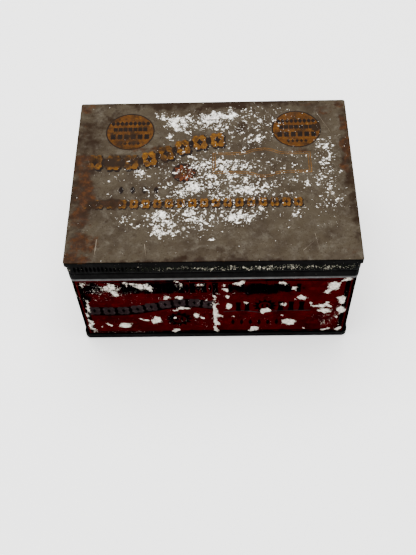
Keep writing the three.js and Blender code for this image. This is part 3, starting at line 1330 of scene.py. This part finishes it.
BACK_LEFT = (-56.5, 41.5)
LID_FLAKES = spots(
    BACK_LEFT,
    [
        (35.5, 8.5, 4, 3, 0.6), (41, 12, 6, 6, 0.75), (44, 15, 6, 5, 0.6), (57, 10, 7, 5, 0.8),
        (64.5, 8, 4, 3.5, 0.85), (60, 15, 5, 3, 0.6), (39, 20, 2.5, 3, 0.6), (49.5, 3.5, 1, 1, 0.8),
        (73, 7, 4, 2.5, 0.5), (75, 15, 4, 4, 0.45), (74, 22, 8, 3.5, 0.62), (48.5, 31, 2.5, 2, 0.7),
        (51.5, 35, 3.5, 5, 0.62), (60, 35, 5, 5, 0.75), (68, 36, 5, 3, 0.7), (91, 31.5, 6, 1.5, 0.5),
        (27, 39.5, 5, 3.5, 0.65), (17, 41, 3, 3, 0.45), (49, 46.5, 4.5, 4.5, 0.95), (45, 49.5, 5, 3, 0.72),
        (57, 43, 4, 4, 0.5), (66, 42.5, 7, 3, 0.62), (70, 49, 9, 4, 0.75), (79.5, 47, 4, 3, 0.68),
        (57.5, 52.5, 2.5, 1.5, 0.5), (35, 61, 5, 3.5, 0.8), (47, 60.5, 4, 5, 0.75), (23, 62, 5, 3, 0.5),
        (36, 68, 4, 5, 0.66), (43, 69, 5, 3, 0.5), (66, 62.5, 8, 4, 0.75), (75, 59.5, 4, 2, 0.65),
        (55.5, 72.5, 2, 1.5, 0.62), (61, 68.5, 1.2, 1.5, 0.62), (88, 61, 3, 3, 0.5), (87, 51, 4, 2, 0.52),
        (102, 25, 5, 5, 0.52), (102, 34, 5, 5, 0.5), (101, 44, 6, 5, 0.46), (103, 55, 6, 7, 0.46),
        (95, 45, 2, 2, 0.52), (14, 44, 2, 1.5, 0.42), (36, 49, 2, 3, 0.5), (15, 50, 2, 2, 0.42),
        (52, 12, 15, 6, 0.56), (55, 38, 14, 8, 0.52), (62, 47, 24, 7, 0.53), (50, 62, 28, 6, 0.52),
        (38, 66, 8, 6, 0.6), (60, 45, 46, 26, 0.36), (70, 12, 26, 12, 0.36), (45, 64, 26, 9, 0.40),
        (103, 40, 7, 30, 0.38),
    ],
)
LID_RUST = spots(
    BACK_LEFT,
    [
        (4, 36, 5.5, 13, 0.85), (6, 49, 6, 9, 0.9), (5, 62, 6, 9, 0.8), (7, 74, 9, 7, 0.8),
        (3, 81, 10, 3, 1.0), (111, 14, 2.8, 6, 1.0), (111.5, 27, 2.4, 12, 0.95), (110, 38, 3, 5, 0.7),
        (2, 3, 8, 6, 0.7), (2, 18, 3, 12, 0.5), (111, 3, 6, 5, 0.7), (56, 82.6, 60, 1.0, 0.45),
        (29, 27, 9, 3, 0.7), (92, 28, 6, 2.2, 0.7), (30, 12, 6, 4, 0.45), (60, 78, 40, 3, 0.35),
        (34, 36, 8, 3, 0.6), (104, 6, 6, 4, 0.6), (20, 34, 14, 3, 0.5), (14, 55, 12, 3, 0.6),
        (98, 60, 4, 3, 0.5), (75, 55, 6, 3, 0.45), (18, 22, 7, 4, 0.5), (45, 40, 5, 5, 0.5),
        (36, 43, 8, 6, 0.4), (96, 3, 4, 2, 0.7), (22, 78, 16, 4, 0.4), (108, 78, 5, 6, 0.5),
    ],
)
LID_GRIME = spots(
    BACK_LEFT,
    [
        (3, 42, 10, 46, 0.66), (56, -1, 62, 8, 0.75), (113, 40, 6, 46, 0.7), (56, 84, 62, 4, 0.7),
        (12, 10, 14, 12, 0.5), (14, 55, 14, 3, 0.85), (18, 33, 15, 5, 0.78), (38, 28, 7, 6, 0.65),
        (99.5, 15.5, 2.2, 3.6, 1.2), (68, 15, 5, 5, 0.6), (50, 7, 6, 5, 0.45), (45, 40, 8, 8, 0.5),
        (36, 32, 12, 7, 0.5), (22, 17, 10, 10, 0.42), (91, 16.5, 10, 10, 0.42), (65, 78, 18, 4, 0.45),
        (22, 24, 10, 5, 0.5), (77, 54, 8, 3, 0.5), (34, 48, 20, 8, 0.4), (90, 40, 26, 26, 0.36),
        (30, 60, 30, 20, 0.36),
    ],
)


class LidPanel:
    """The lid's flat top with its printed ornament and its edge turned down."""

    STEPS = RingSteps(56, 42, 6)
    ROUND = 0.35

    def __init__(self, sizes: TinSizes, rows: MotifRow) -> None:
        """Keeps what the panel is made from."""
        self.sizes = sizes
        self.print = LidPrint(rows)

    def level(self, inset_by: float, z: float) -> list[Vector]:
        """One ring of the panel's section."""
        s = self.sizes
        corner = s.flange_corner - min(inset_by, s.sheet)
        return ring(s.half_x - inset_by, s.half_y - inset_by, corner, z, self.STEPS)

    def build(self) -> bpy.types.Object:
        """Makes the piece.

        Returns:
            The lid panel.
        """
        s = self.sizes
        sheet = Sheet()
        section = [(1.2, s.top - s.sheet), (s.sheet, s.top - s.sheet)]
        section += [(s.sheet, z) for z in reversed(heights(s.flange_foot, s.top - s.sheet, 1.0)[:-1])]
        inks = [Ink.TIN] * (len(section) - 1) + [Ink.JAPAN]
        outside = [(0.0, z) for z in heights(s.flange_foot, s.top - self.ROUND, 0.7)]
        outside += arc((self.ROUND, s.top - self.ROUND), self.ROUND, 180, 90, 4)[1:]
        outside.append((1.2, s.top))
        inks += [Ink.JAPAN] * (len(outside) - 4) + [Ink.GROUND] * 3
        section += outside
        levels = [self.level(*step) for step in section]
        skin(sheet, levels, inks, False)
        top = [(point.x, point.y) for point in levels[-1]]
        inlay(sheet, top, self.print.shapes(), Ink.GROUND, lambda x, y: Vector((x, y, s.top)), 1.3)
        below = Sheet()
        inlay(below, top, [], Ink.TIN, lambda x, y: Vector((x, y, s.top - s.sheet)), 4.0)
        sheet.add(below.points, [face[::-1] for face in below.faces], below.inks)
        for point in sheet.points:
            if point.z > s.top - s.sheet - 0.01:
                rim = max(abs(point.x) - s.half_x, abs(point.y) - s.half_y)
                point.z -= TOP_WAVES.amount(point.x, point.y) * (1 - smooth(rim, -12, -3))
        piece = sheet.finish("lid_top_sheet", Body.LID, Slot.TOP, ["lid_panel"])
        layers = {"flake": LID_FLAKES, "rust": LID_RUST, "grime": LID_GRIME}
        write_wear(
            piece,
            {
                name: lambda at, patches=patches: np.where(
                    at[:, 2] > s.top - 0.8, strongest(patches, at[:, 0], at[:, 1]), 0.1
                )
                for name, patches in layers.items()
            },
        )
        return piece


TOP_WAVES = Dents(0.35, 26.0, 3.7, 0, 0, 1)


class LidSkirt:
    """The lid's upright band, with its crease, its leaning foot and the lap at the back."""

    STEPS = RingSteps(56, 42, 8)
    MARGIN = 0.1
    STROKE_PITCH = 1.5
    STROKE_REACH = {Side.FRONT: 52.8, Side.RIGHT: 37.8, Side.BACK: 52.8, Side.LEFT: 37.8}

    def __init__(self, sizes: TinSizes, rows: MotifRow) -> None:
        """Keeps what the skirt is made from."""
        self.sizes = sizes
        self.rows = rows

    def strokes(self, side: Side) -> list[Shape]:
        """A worn border of short upright strokes."""
        reach = self.STROKE_REACH[side]
        s = self.sizes
        low = s.lid_edge + s.crease_height + s.crease_width + self.MARGIN
        high = s.flange_foot - 0.2 - self.MARGIN
        path = line((-reach, (low + high) / 2), (reach, (low + high) / 2))
        count = round(2 * reach / self.STROKE_PITCH)
        return self.rows.shapes(path, Motif.LEAF, count, (1.0, high - low), Ink.STROKE)

    def build(self) -> bpy.types.Object:
        """Makes the piece.

        Returns:
            The skirt.
        """
        s = self.sizes
        sheet = Sheet()
        crease = s.lid_edge + s.crease_height
        half_crease = s.crease_width / 2
        foot_inset = s.lid_edge_inset
        crease_inset = s.skirt_inset + s.crease_depth
        outside = []
        for i in range(8):
            turn = math.radians(90 * i / 7)
            outside.append(
                (
                    foot_inset + (crease_inset - foot_inset) * math.sin(turn),
                    s.lid_edge + (s.crease_height - half_crease) * (1 - math.cos(turn)),
                )
            )
        outside += [
            (crease_inset + s.crease_depth, crease),
            (crease_inset, crease + half_crease),
            (s.skirt_inset, crease + s.crease_width),
        ]
        bulge = [(s.skirt_inset, z) for z in heights(crease + s.crease_width, s.flange_foot - 0.2, 0.9)][1:]
        top = s.top - s.sheet - 0.05
        shelf = [(s.skirt_inset, top), (s.skirt_inset + 2, top), (s.skirt_inset + 2, top - s.sheet)]
        inner = [(s.skirt_inset + s.sheet, top - s.sheet)]
        inner += [(step + s.sheet, z) for step, z in reversed(outside + bulge)]
        section = outside + bulge + shelf + inner
        black = len(outside + bulge)
        inks = [Ink.JAPAN] * black + [Ink.TIN] * (len(section) - black - 1) + [Ink.JAPAN]
        levels = rings(s, section, self.STEPS)
        first = len(outside) - 1
        printed_band(
            sheet, levels, inks, range(first, first + len(bulge)), self.STEPS, self.strokes, Ink.JAPAN, 1.3
        )
        back = s.half_y - s.skirt_inset
        box_faces(
            sheet,
            (-s.seam_width / 2, back - 0.1, crease + 1.1),
            (s.seam_width / 2, back + s.sheet, s.flange_foot - 0.4),
            Ink.JAPAN,
            0.15,
        )
        piece = sheet.finish("lid_skirt_band", Body.LID, Slot.BLACK, ["lid_skirt"], 25)
        middle = (crease + s.flange_foot) / 2
        rows = ((22, middle, 58, 1.9, 0.52), (-20, middle, 12, 1.6, 0.4), (-3, middle, 10, 1.6, 0.5))
        worn = {side: [Spot(*row) for row in rows] for side in Side}
        rusty = {side: [Spot(0, s.lid_edge, 60, 1.2, 0.4), Spot(30, 55, 30, 3, 0.3)] for side in Side}
        grimy = {side: [Spot(-50, middle, 26, 4, 1.0)] for side in Side}
        wear_walls(piece, s, {"flake": worn, "rust": rusty, "grime": grimy})
        return piece


FRONT_CORNER = (-56.5, 58.2)
WALL_REACH = {Side.FRONT: 53.5, Side.RIGHT: 38.5, Side.BACK: 53.5, Side.LEFT: 38.5}


@dataclass(frozen=True)
class WallPrint:
    """The print of one upright side: borders, a waving ribbon, dark rows and roundels on maroon.

    Places are given right and down from the front's top left corner, for the widest side.
    """

    rows: MotifRow
    reach: float
    widest: float = 53.5

    POST_WIDTH = 1.9
    POST_Z = (5.3, 43.2)
    RIBBON = (
        (5.5, 36), (13, 36.4), (20, 36), (27, 34.4), (33, 32.7), (38, 31.2), (44, 30.5), (50, 31),
        (55, 32.4),
    )
    UNDERLINE = ((60, 38.2), (68, 37.2), (76, 38.6), (84, 37.4), (96, 37.3))

    def at(self, right: float, down: float) -> Point:
        """A place on the side."""
        return ((right + FRONT_CORNER[0]) * self.reach / self.widest, FRONT_CORNER[1] - down)

    def strip(self, low: float, high: float, ink: Ink) -> Shape:
        """A level strip across the whole side."""
        middle = (low + high) / 2
        return Shape(ribbon(line((-self.reach, middle), (self.reach, middle), 72), high - low), ink)

    def post(self, low_x: float, high_x: float) -> Shape:
        """A dark upright strip between the two level ones."""
        low, high = self.POST_Z
        right, left = line((high_x, low), (high_x, high), 32), line((low_x, high), (low_x, low), 32)
        return Shape(right + left, Ink.BLACK)

    def row(self, start: Point, end: Point, motif: Motif, count: int, size: Point, ink: Ink) -> list[Shape]:
        """A straight row of one motif."""
        count = max(2, round(count * self.reach / self.widest))
        return self.rows.shapes(line(self.at(*start), self.at(*end)), motif, count, size, ink)

    def roundel(self, centre: Point, radius: float) -> list[Shape]:
        """A dark scalloped disc with a maroon heart."""
        x, y = self.at(*centre)
        outer = [(x + 2 * radius * u, y + 2 * radius * v) for u, v in Motif.SCALLOP.outline()]
        heart = line((x - radius * 0.2, y), (x + radius * 0.2, y))
        return [
            Shape(outer, Ink.BLACK),
            Shape(oval((x, y), radius * 0.5, radius * 0.56, 32), Ink.MAROON),
            *self.rows.shapes(heart, Motif.LEAF, 2, (radius * 0.2, radius * 0.7), Ink.BLACK),
        ]

    def shapes(self) -> list[Shape]:
        """The whole print, the lowest layer first."""
        wave = curve_through([self.at(*p) for p in self.RIBBON])
        shadow = [(x + 0.3, y - 0.5) for x, y in wave]
        under = curve_through([self.at(*p) for p in self.UNDERLINE])
        shapes = [
            self.strip(43.3, 43.95, Ink.BLACK),
            self.strip(2.5, 5.2, Ink.BLACK),
            self.strip(4.0, 4.35, Ink.MAROON),
            self.post(-self.reach, -self.reach + self.POST_WIDTH),
            self.post(self.reach - self.POST_WIDTH, self.reach),
            *self.row((21, 19.3), (57, 19.3), Motif.BAR, 9, (2.6, 7.6), Ink.BLACK),
            *self.row((23, 19.6), (55, 19.6), Motif.LEAF, 8, (1.3, 6.4), Ink.BLACK),
            *self.row((63, 20), (90, 20), Motif.BAR, 7, (1.9, 6.4), Ink.BLACK),
            *self.row((64, 46.5), (86, 46.5), Motif.LEAF, 7, (1.5, 4.6), Ink.BLACK),
            Shape(ribbon(shadow, 6.7), Ink.BLACK),
            Shape(ribbon(under, 0.7), Ink.RIBBON),
        ]
        count = round(9 * self.reach / self.widest)
        for motif, size, ink in (
            (Motif.TABLET, (5.2, 6.2), Ink.RIBBON),
            (Motif.LOZENGE, (1.6, 3.6), Ink.BLACK),
        ):
            shapes += self.rows.shapes(wave[2:-2], motif, count, size, ink, 0.4)
        shapes += self.roundel((77, 33.6), 4.9)
        shapes += self.roundel((41.5, 43.8), 5.6)
        shapes += self.row((66.2, 34), (69.8, 34), Motif.BAR, 2, (2.2, 6.6), Ink.BLACK)
        shapes += self.row((83.5, 33.8), (92, 33.8), Motif.BAR, 3, (2.4, 6.8), Ink.BLACK)
        return shapes


FRONT_CHIPS = spots(
    FRONT_CORNER,
    [
        (4.2, 36, 1.1, 9, 0.8), (4, 47, 1.3, 6, 0.85), (4.5, 28, 1.2, 4, 0.6), (5, 16, 2, 2, 0.7),
        (15.5, 19, 5, 3.6, 0.72), (16.5, 23.5, 2, 2, 0.85), (27.5, 17, 3.5, 2.6, 0.9),
        (22.5, 15.5, 2, 1, 0.8), (31, 20, 1.5, 1.5, 0.8), (41.5, 14.4, 1.1, 0.7, 0.8),
        (42.5, 17, 1.5, 1.3, 0.8), (51.5, 16.8, 2.4, 1.5, 0.9, 30), (60.5, 17.5, 1.5, 1, 0.9),
        (60.7, 21, 1, 1.5, 1), (66.5, 16.5, 2.5, 2, 0.95), (83.5, 16.5, 2.3, 1, 1),
        (88.5, 21, 1.8, 2.3, 1), (107.5, 14, 3.4, 1, 1, 20), (103.5, 19, 3, 4, 0.9),
        (102, 23, 1.5, 2.5, 0.9), (37, 26.7, 1.6, 1.2, 0.95), (43.5, 26.5, 2.4, 1, 0.9),
        (57.7, 25, 0.9, 1.6, 1), (62, 26.5, 0.9, 2, 1), (53.5, 28.5, 0.9, 0.8, 0.9), (57, 29, 1.5, 2, 0.9),
        (56.6, 34, 1.5, 3, 1), (57, 39, 2.2, 3.8, 1.1), (56.3, 45.5, 0.9, 6, 1.1),
        (57, 52.5, 1.5, 2.6, 1.1), (62.2, 33, 1.1, 3, 1), (69.5, 31, 1.7, 0.8, 1),
        (42.5, 35.5, 4.5, 1.2, 0.95, 6), (48.8, 41, 1.6, 2.4, 1), (51, 39, 1.1, 1.1, 1),
        (51.3, 43.5, 1.2, 0.9, 1), (32.3, 44.3, 2.2, 3.2, 1), (30.5, 47, 1.5, 1.2, 0.9),
        (28.5, 45, 0.8, 0.8, 1), (39.5, 43, 0.9, 0.8, 1), (18.4, 48.3, 3.4, 2.4, 1),
        (12.2, 47, 1.2, 1.1, 1), (8, 49.3, 1.2, 0.6, 1), (26, 43.5, 0.9, 0.6, 1), (37, 47, 0.8, 1.3, 1),
        (40.3, 53.3, 1.5, 1.9, 1.1), (52.3, 49.5, 0.9, 1.4, 1), (77.2, 37, 1.8, 1.4, 1.1),
        (85, 33, 1.2, 2, 1), (91, 27.7, 2.9, 1.5, 1), (64.5, 41.5, 0.8, 0.8, 1.1), (84, 41.5, 1.3, 1.1, 1),
        (87.5, 46.6, 3.2, 3, 1.1), (73, 52.3, 2.7, 1.7, 1.1, 30), (95, 32, 1.1, 1.1, 1),
        (99, 34.5, 4, 1.5, 1), (103, 33, 1.3, 3.6, 1), (101.5, 38, 2.2, 1.6, 0.9), (97, 43.3, 0.9, 1.1, 1),
        (108, 29, 1.5, 4, 1), (108.3, 37, 1.7, 4, 1), (106.5, 43, 0.9, 0.9, 1), (103, 53, 3.2, 1.2, 1),
        (109, 52, 1.1, 3, 1), (93.5, 52, 0.6, 1, 1), (9, 28, 1, 1, 0.7), (103, 47, 4, 4, 0.45),
        (40, 24, 40, 10, 0.2), (56, 46, 50, 8, 0.16), (14, 22, 12, 10, 0.3), (104, 40, 8, 12, 0.3),
        (20, 54, 20, 2, 0.3), (5, 53, 1.5, 3, 0.8),
    ],
)
FRONT_GRIME = spots(
    FRONT_CORNER,
    [
        (32, 19, 24, 5.5, 1.0), (8, 19, 5, 6, 0.9), (5, 26, 3, 4, 0.9), (76, 20.5, 20, 5, 0.95),
        (56, 13.5, 60, 1.6, 0.7), (41, 43, 8, 7, 0.55), (80, 34, 14, 5, 0.45), (50, 19, 8, 4, 0.5),
        (56, 55, 60, 2.2, 0.9), (57, 24, 2, 7, 0.8),
    ],
)


def chips_of(side: Side, reach: float) -> list[Spot]:
    """The chips of one side: those of the front, or scattered ones."""
    if side is Side.FRONT:
        return FRONT_CHIPS
    luck = random.Random(20 + side.value)
    chips = []
    for _ in range(46):
        size = luck.choice((0.8, 1.0, 1.4, 2.0, 3.2))
        chips.append(
            Spot(
                luck.uniform(-reach, reach), luck.uniform(5.5, 43), size * luck.uniform(0.6, 1.6),
                size * luck.uniform(0.6, 1.4), luck.uniform(0.8, 1.1), luck.uniform(0, 90),
            )
        )
    chips += [Spot(end * reach, luck.uniform(12, 36), 1.4, 12, 0.8) for end in (-1, 1)]
    return chips


class BodyWall:
    """The wrapped wall with its folded top edge, its print on four sides and the lap at the back."""

    STEPS = RingSteps(48, 36, 8)

    def __init__(self, sizes: TinSizes, rows: MotifRow, dents: Dents) -> None:
        """Keeps what the wall is made from."""
        self.sizes = sizes
        self.rows = rows
        self.dents = dents

    def print_of(self, side: Side) -> list[Shape]:
        """The print of one side."""
        return WallPrint(self.rows, WALL_REACH[side]).shapes()

    def build(self) -> bpy.types.Object:
        """Makes the piece.

        Returns:
            The wall.
        """
        s = self.sizes
        sheet = Sheet()
        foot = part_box("body_wall")[0].z / MM
        hem_foot = s.wall_top - s.hem_height
        fold = s.hem_stand
        outside = [(s.wall_inset, foot), (s.wall_inset, 2.4)]
        flat = [(s.wall_inset, z) for z in heights(2.4, hem_foot - 0.3, 2.4)][1:]
        hem = [(s.wall_inset, hem_foot)]
        hem += [(s.hem_inset + fold + x, hem_foot + fold + z) for x, z in arc((0, 0), fold, 270, 180, 4)[1:]]
        hem += [(s.hem_inset + fold + x, s.wall_top - fold + z) for x, z in arc((0, 0), fold, 180, 90, 4)]
        inner = [(s.wall_inset + s.sheet, s.wall_top)]
        inner += [(s.wall_inset + s.sheet, z) for z in reversed(heights(foot, s.wall_top, 2.4)[:-1])]
        section = outside + flat + hem + inner
        # The hem's rows take the tinplate painted dark, which is painted shade for where the fold sits under
        # the lid's edge.
        inks = [Ink.BLACK] * (len(flat) + 2) + [Ink.SHADED_FOLD] * len(hem)
        inks += [Ink.TIN] * (len(section) - len(inks))
        levels = rings(s, section, self.STEPS)
        printed_band(
            sheet, levels, inks, range(1, 1 + len(flat)), self.STEPS, self.print_of, Ink.MAROON, 1.3
        )
        back = s.half_y - s.wall_inset
        box_faces(
            sheet,
            (-s.seam_width / 2, back - 0.1, s.base_band + 0.4),
            (s.seam_width / 2, back + s.sheet, hem_foot - 0.4),
            Ink.MAROON,
            0.15,
        )
        self.dents.push(sheet, s)
        piece = sheet.finish("body_wall_sheet", Body.TIN, Slot.SIDE, ["body_wall"], 30)
        chips = {side: chips_of(side, WALL_REACH[side]) for side in Side}
        grime = {side: FRONT_GRIME for side in Side}
        rust = {side: [Spot(0, 3, 60, 2, 0.3)] for side in Side}
        wear_walls(piece, s, {"flake": chips, "rust": rust, "grime": grime})
        return piece


class NeckCollar:
    """The bare upright neck that the lid closes over."""

    STEPS = RingSteps(48, 36, 8)

    def __init__(self, sizes: TinSizes, dents: Dents) -> None:
        """Keeps what the collar is made from."""
        self.sizes = sizes
        self.dents = dents

    def build(self) -> bpy.types.Object:
        """Makes the piece.

        Returns:
            The collar.
        """
        s = self.sizes
        sheet = Sheet()
        lip = s.sheet / 2
        outside = [(s.collar_inset, z) for z in heights(s.collar_foot, s.collar_top - lip, 2.0)]
        edge = [
            (s.collar_inset + lip + x, s.collar_top - lip + z) for x, z in arc((0, 0), lip, 180, 0, 6)[1:-1]
        ]
        inner = [(s.collar_inset + s.sheet, z) for _, z in reversed(outside)]
        section = outside + edge + inner
        levels = rings(s, section, self.STEPS)
        skin(sheet, levels, [Ink.TIN] * len(section), True)
        self.dents.push(sheet, s)
        return sheet.finish("neck_collar_band", Body.TIN, Slot.BARE, ["neck_collar"])


class BasePan:
    """The bottom pan with its thick rounded rim."""

    STEPS = RingSteps(48, 36, 8)

    def __init__(self, sizes: TinSizes) -> None:
        """Keeps what the pan is made from."""
        self.sizes = sizes

    def build(self) -> bpy.types.Object:
        """Makes the piece.

        Returns:
            The pan.
        """
        s = self.sizes
        sheet = Sheet()
        wide, round_by = s.base_rim, s.base_round
        lip = wide / 4
        outer = s.base_inset
        section = [(outer + 3.2, 0.0), (outer + round_by, 0.0)]
        section += [(outer + round_by + x, round_by + z) for x, z in arc((0, 0), round_by, 270, 180, 6)[1:]]
        section += [(outer, 2.0)]
        section += [(outer + lip + x, s.base_band - lip + z) for x, z in arc((0, 0), lip, 180, 90, 4)]
        section += [(outer + wide - lip + x, s.base_band - lip + z) for x, z in arc((0, 0), lip, 90, 0, 4)]
        black = len(section) - 1
        section += [(outer + wide, 2.0), (outer + wide, s.sheet), (outer + 3.2, s.sheet)]
        inks = [Ink.JAPAN] * black + [Ink.TIN] * (len(section) - 1 - black)
        levels = rings(s, section, self.STEPS, s.body_corner)
        skin(sheet, levels, inks, False)
        edge = [(point.x, point.y) for point in levels[-1]]
        inlay(sheet, edge, [], Ink.TIN, lambda x, y: Vector((x, y, s.sheet)), 3.0)
        under = Sheet()
        inlay(under, edge, [], Ink.TIN, lambda x, y: Vector((x, y, 0.0)), 3.0)
        sheet.add(under.points, [face[::-1] for face in under.faces], under.inks)
        return sheet.finish("base_pan_sheet", Body.TIN, Slot.BLACK, ["base_pan"])


@dataclass(frozen=True)
class Strip:
    """A bent strip of sheet: its middle line in a section, its thickness and its reach along X."""

    middle: list[Point]
    sheet: float
    low_x: float
    high_x: float

    def add_to(self, mesh: Sheet, ink: Ink) -> None:
        """Adds the closed strip.

        Args:
            mesh: The sheet that gets the faces; the section's axes are Y and Z.
            ink: Its finish.
        """
        left, right = [], []
        for i, (y, z) in enumerate(self.middle):
            before = self.middle[max(i - 1, 0)]
            after = self.middle[min(i + 1, len(self.middle) - 1)]
            along = Vector((after[0] - before[0], after[1] - before[1])).normalized()
            left.append((y - along.y * self.sheet / 2, z + along.x * self.sheet / 2))
            right.append((y + along.y * self.sheet / 2, z - along.x * self.sheet / 2))
        outline = left + right[::-1]
        area = sum(a[0] * b[1] - b[0] * a[1] for a, b in zip(outline, outline[1:] + outline[:1]))
        if area < 0:
            outline = outline[::-1]
            left, right = right, left
        count = len(outline)
        points = [Vector((x, y, z)) for x in (self.low_x, self.high_x) for y, z in outline]
        faces = [(i, (i + 1) % count, count + (i + 1) % count, count + i) for i in range(count)]
        half = count // 2
        for i in range(half - 1):
            a, b, c, d = i, i + 1, count - 2 - i, count - 1 - i
            faces.append((d, c, b, a))
            faces.append((count + a, count + b, count + c, count + d))
        mesh.add(points, faces, [ink] * len(faces))


class Hinge:
    """One soldered hinge: two leaves with rolled knuckles on a wire pin."""

    WIRE_STEPS = 20

    def __init__(self, sizes: TinSizes, side: str) -> None:
        """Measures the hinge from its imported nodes."""
        self.sizes = sizes
        self.side = side
        pin_low, pin_high = (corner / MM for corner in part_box(f"hinge_{side}_pin"))
        leaf_low, leaf_high = (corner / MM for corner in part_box(f"hinge_{side}_body_leaf"))
        self.lid_low, self.lid_high = (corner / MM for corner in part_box(f"hinge_{side}_lid_leaf"))
        self.pin_low, self.pin_high = pin_low, pin_high
        self.leaf_low, self.leaf_high = leaf_low, leaf_high
        self.axis = ((pin_low.y + pin_high.y) / 2, (pin_low.z + pin_high.z) / 2)
        self.radius = leaf_high.y - self.axis[0]

    def build(self) -> list[bpy.types.Object]:
        """Makes the hinge's three pieces.

        Returns:
            The body leaf, the lid leaf and the pin.
        """
        thick, knuckle = self.sizes.leaf_sheet, self.sizes.knuckle_length
        y, z = self.axis
        roll = self.radius - thick / 2
        body, lid, wire = Sheet(), Sheet(), Sheet()
        plane = self.leaf_low.y + thick / 2
        notch = z - self.radius - 0.3
        low_x, high_x = self.leaf_low.x, self.leaf_high.x
        plate_z = heights(self.leaf_low.z, notch, 1.0)
        Strip([(plane, h) for h in plate_z], thick, low_x, high_x).add_to(body, Ink.HINGE)
        curl = [(plane, notch - 0.1), (plane, notch + 0.3), (y - roll, z - 0.4)]
        curl += arc((y, z), roll, 180, -125, 22)
        for start in (low_x, high_x - knuckle):
            Strip(curl, thick, start, start + knuckle).add_to(body, Ink.HINGE)
        plane = self.sizes.half_y - self.sizes.skirt_inset + 0.05 + thick / 2
        root = z + self.radius + 0.3
        plate_z = heights(root, self.lid_high.z, 1.0)
        Strip([(plane, h) for h in plate_z], thick, low_x, high_x).add_to(lid, Ink.HINGE)
        middle = (low_x + high_x) / 2
        curl = [(plane, root + 0.1), (plane, root - 0.3), (y - roll + 0.05, z + 0.5)]
        curl += arc((y, z), roll, 180, 475, 22)
        Strip(curl, thick, middle - knuckle / 2, middle + knuckle / 2).add_to(lid, Ink.HINGE)
        shoulder = (high_x - low_x) / 2 + 0.1
        end = (self.pin_high.x - self.pin_low.x) / 2
        profile = [(0.02, -end), (0.4, -end), (0.68, -end + 0.12)]
        profile += [(0.75, -shoulder - 0.12), (0.7, -shoulder), (0.45, -shoulder)]
        profile += [(r, -a) for r, a in reversed(profile)]
        turns = [2 * math.pi * i / self.WIRE_STEPS for i in range(self.WIRE_STEPS)]
        hoops = [
            [Vector((middle + along, y + r * math.cos(t), z + r * math.sin(t))) for t in turns]
            for r, along in profile
        ]
        skin(wire, hoops, [Ink.WIRE] * len(hoops), False)
        cap(wire, hoops[0], Ink.WIRE, False)
        cap(wire, hoops[-1], Ink.WIRE, True)
        name = f"hinge_{self.side}"
        return [
            body.finish(f"{name}_body_plate", Body.TIN, Slot.BARE, [f"{name}_body_leaf"]),
            lid.finish(f"{name}_lid_plate", Body.LID, Slot.BARE, [f"{name}_lid_leaf"]),
            wire.finish(f"{name}_wire", Body.TIN, Slot.WIRE, [f"{name}_pin"]),
        ]


# ---------------------------------------------------------------- studio


class Studio:
    """A pale floor and backdrop, soft lights and the camera."""

    def __init__(self, sizes: TinSizes) -> None:
        """Keeps the tin's sizes."""
        self.sizes = sizes

    def floor(self) -> None:
        """A wide pale floor."""
        mesh = bpy.data.meshes.new("floor")
        reach = 6.0
        corners = [(-reach, -reach, 0), (reach, -reach, 0), (reach, reach, 0), (-reach, reach, 0)]
        mesh.from_pydata(corners, [], [(0, 1, 2, 3)])
        floor = bpy.data.objects.new("floor", mesh)
        bpy.context.scene.collection.objects.link(floor)
        material, _, shader = new_material("matt_white_paper")
        shader.inputs["Base Color"].default_value = colour("#fbfbfa")
        shader.inputs["Roughness"].default_value = 0.9
        shader.inputs["Emission Color"].default_value = (1, 1, 1, 1)
        shader.inputs["Emission Strength"].default_value = 0.65
        mesh.materials.append(material)

    def light(self, name: str, place_at: Sequence[float], size: float, power: float) -> None:
        """A square soft light that looks at the tin."""
        lamp = bpy.data.lights.new(name, "AREA")
        lamp.shape = "SQUARE"
        lamp.size = size
        lamp.energy = power
        lamp_object = bpy.data.objects.new(name, lamp)
        bpy.context.scene.collection.objects.link(lamp_object)
        lamp_object.location = place_at
        aim = Vector((0, 0, 0.03)) - Vector(place_at)
        lamp_object.rotation_euler = aim.to_track_quat("-Z", "Y").to_euler()

    def camera(self) -> None:
        """The camera, above the front edge."""
        data = bpy.data.cameras.new("camera")
        data.lens = 52.3
        data.sensor_width = 36
        data.clip_start = 0.01
        camera = bpy.data.objects.new("camera", data)
        bpy.context.scene.collection.objects.link(camera)
        bpy.context.scene.camera = camera
        yaw, pitch, roll = (math.radians(a) for a in (-2.367, 56.892, -2.699))
        forward = Vector((math.sin(yaw) * math.cos(pitch), math.cos(yaw) * math.cos(pitch), -math.sin(pitch)))
        right = Vector((math.cos(yaw), -math.sin(yaw), 0))
        up = right.cross(forward)
        side = right * math.cos(roll) + up * math.sin(roll)
        over = up * math.cos(roll) - right * math.sin(roll)
        turn = Matrix((side, over, -forward)).transposed()
        camera.matrix_world = Matrix.Translation(Vector((4.9, -210.8, 307.4)) * MM) @ turn.to_4x4()

    def build(self) -> None:
        """Sets up floor, lights, world and camera."""
        self.floor()
        self.light("overhead", (-0.1, 0.25, 1.3), 1.3, 46)
        self.light("left", (-1.1, -0.3, 0.8), 0.8, 6)
        self.light("right", (1.1, -0.4, 0.7), 0.8, 5)
        world = bpy.data.worlds.new("studio")
        world.use_nodes = True
        world.node_tree.nodes["Background"].inputs[0].default_value = (1, 1, 1, 1)
        world.node_tree.nodes["Background"].inputs[1].default_value = 0.6
        bpy.context.scene.world = world
        self.camera()


def main() -> None:
    """Builds the tin, the hinges and the studio."""
    logging.basicConfig(level=logging.INFO, format="%(message)s")
    sizes = TinSizes.from_frame()
    rows = MotifRow()
    dents = Dents(0.3, 22.0, 1.3, 5.0, 43.0, 6.0)
    BasePan(sizes).build()
    BodyWall(sizes, rows, dents).build()
    NeckCollar(sizes, dents).build()
    LidPanel(sizes, rows).build()
    LidSkirt(sizes, rows).build()
    for side in ("left", "right"):
        Hinge(sizes, side).build()
    Studio(sizes).build()


if __name__ == "__main__":
    main()
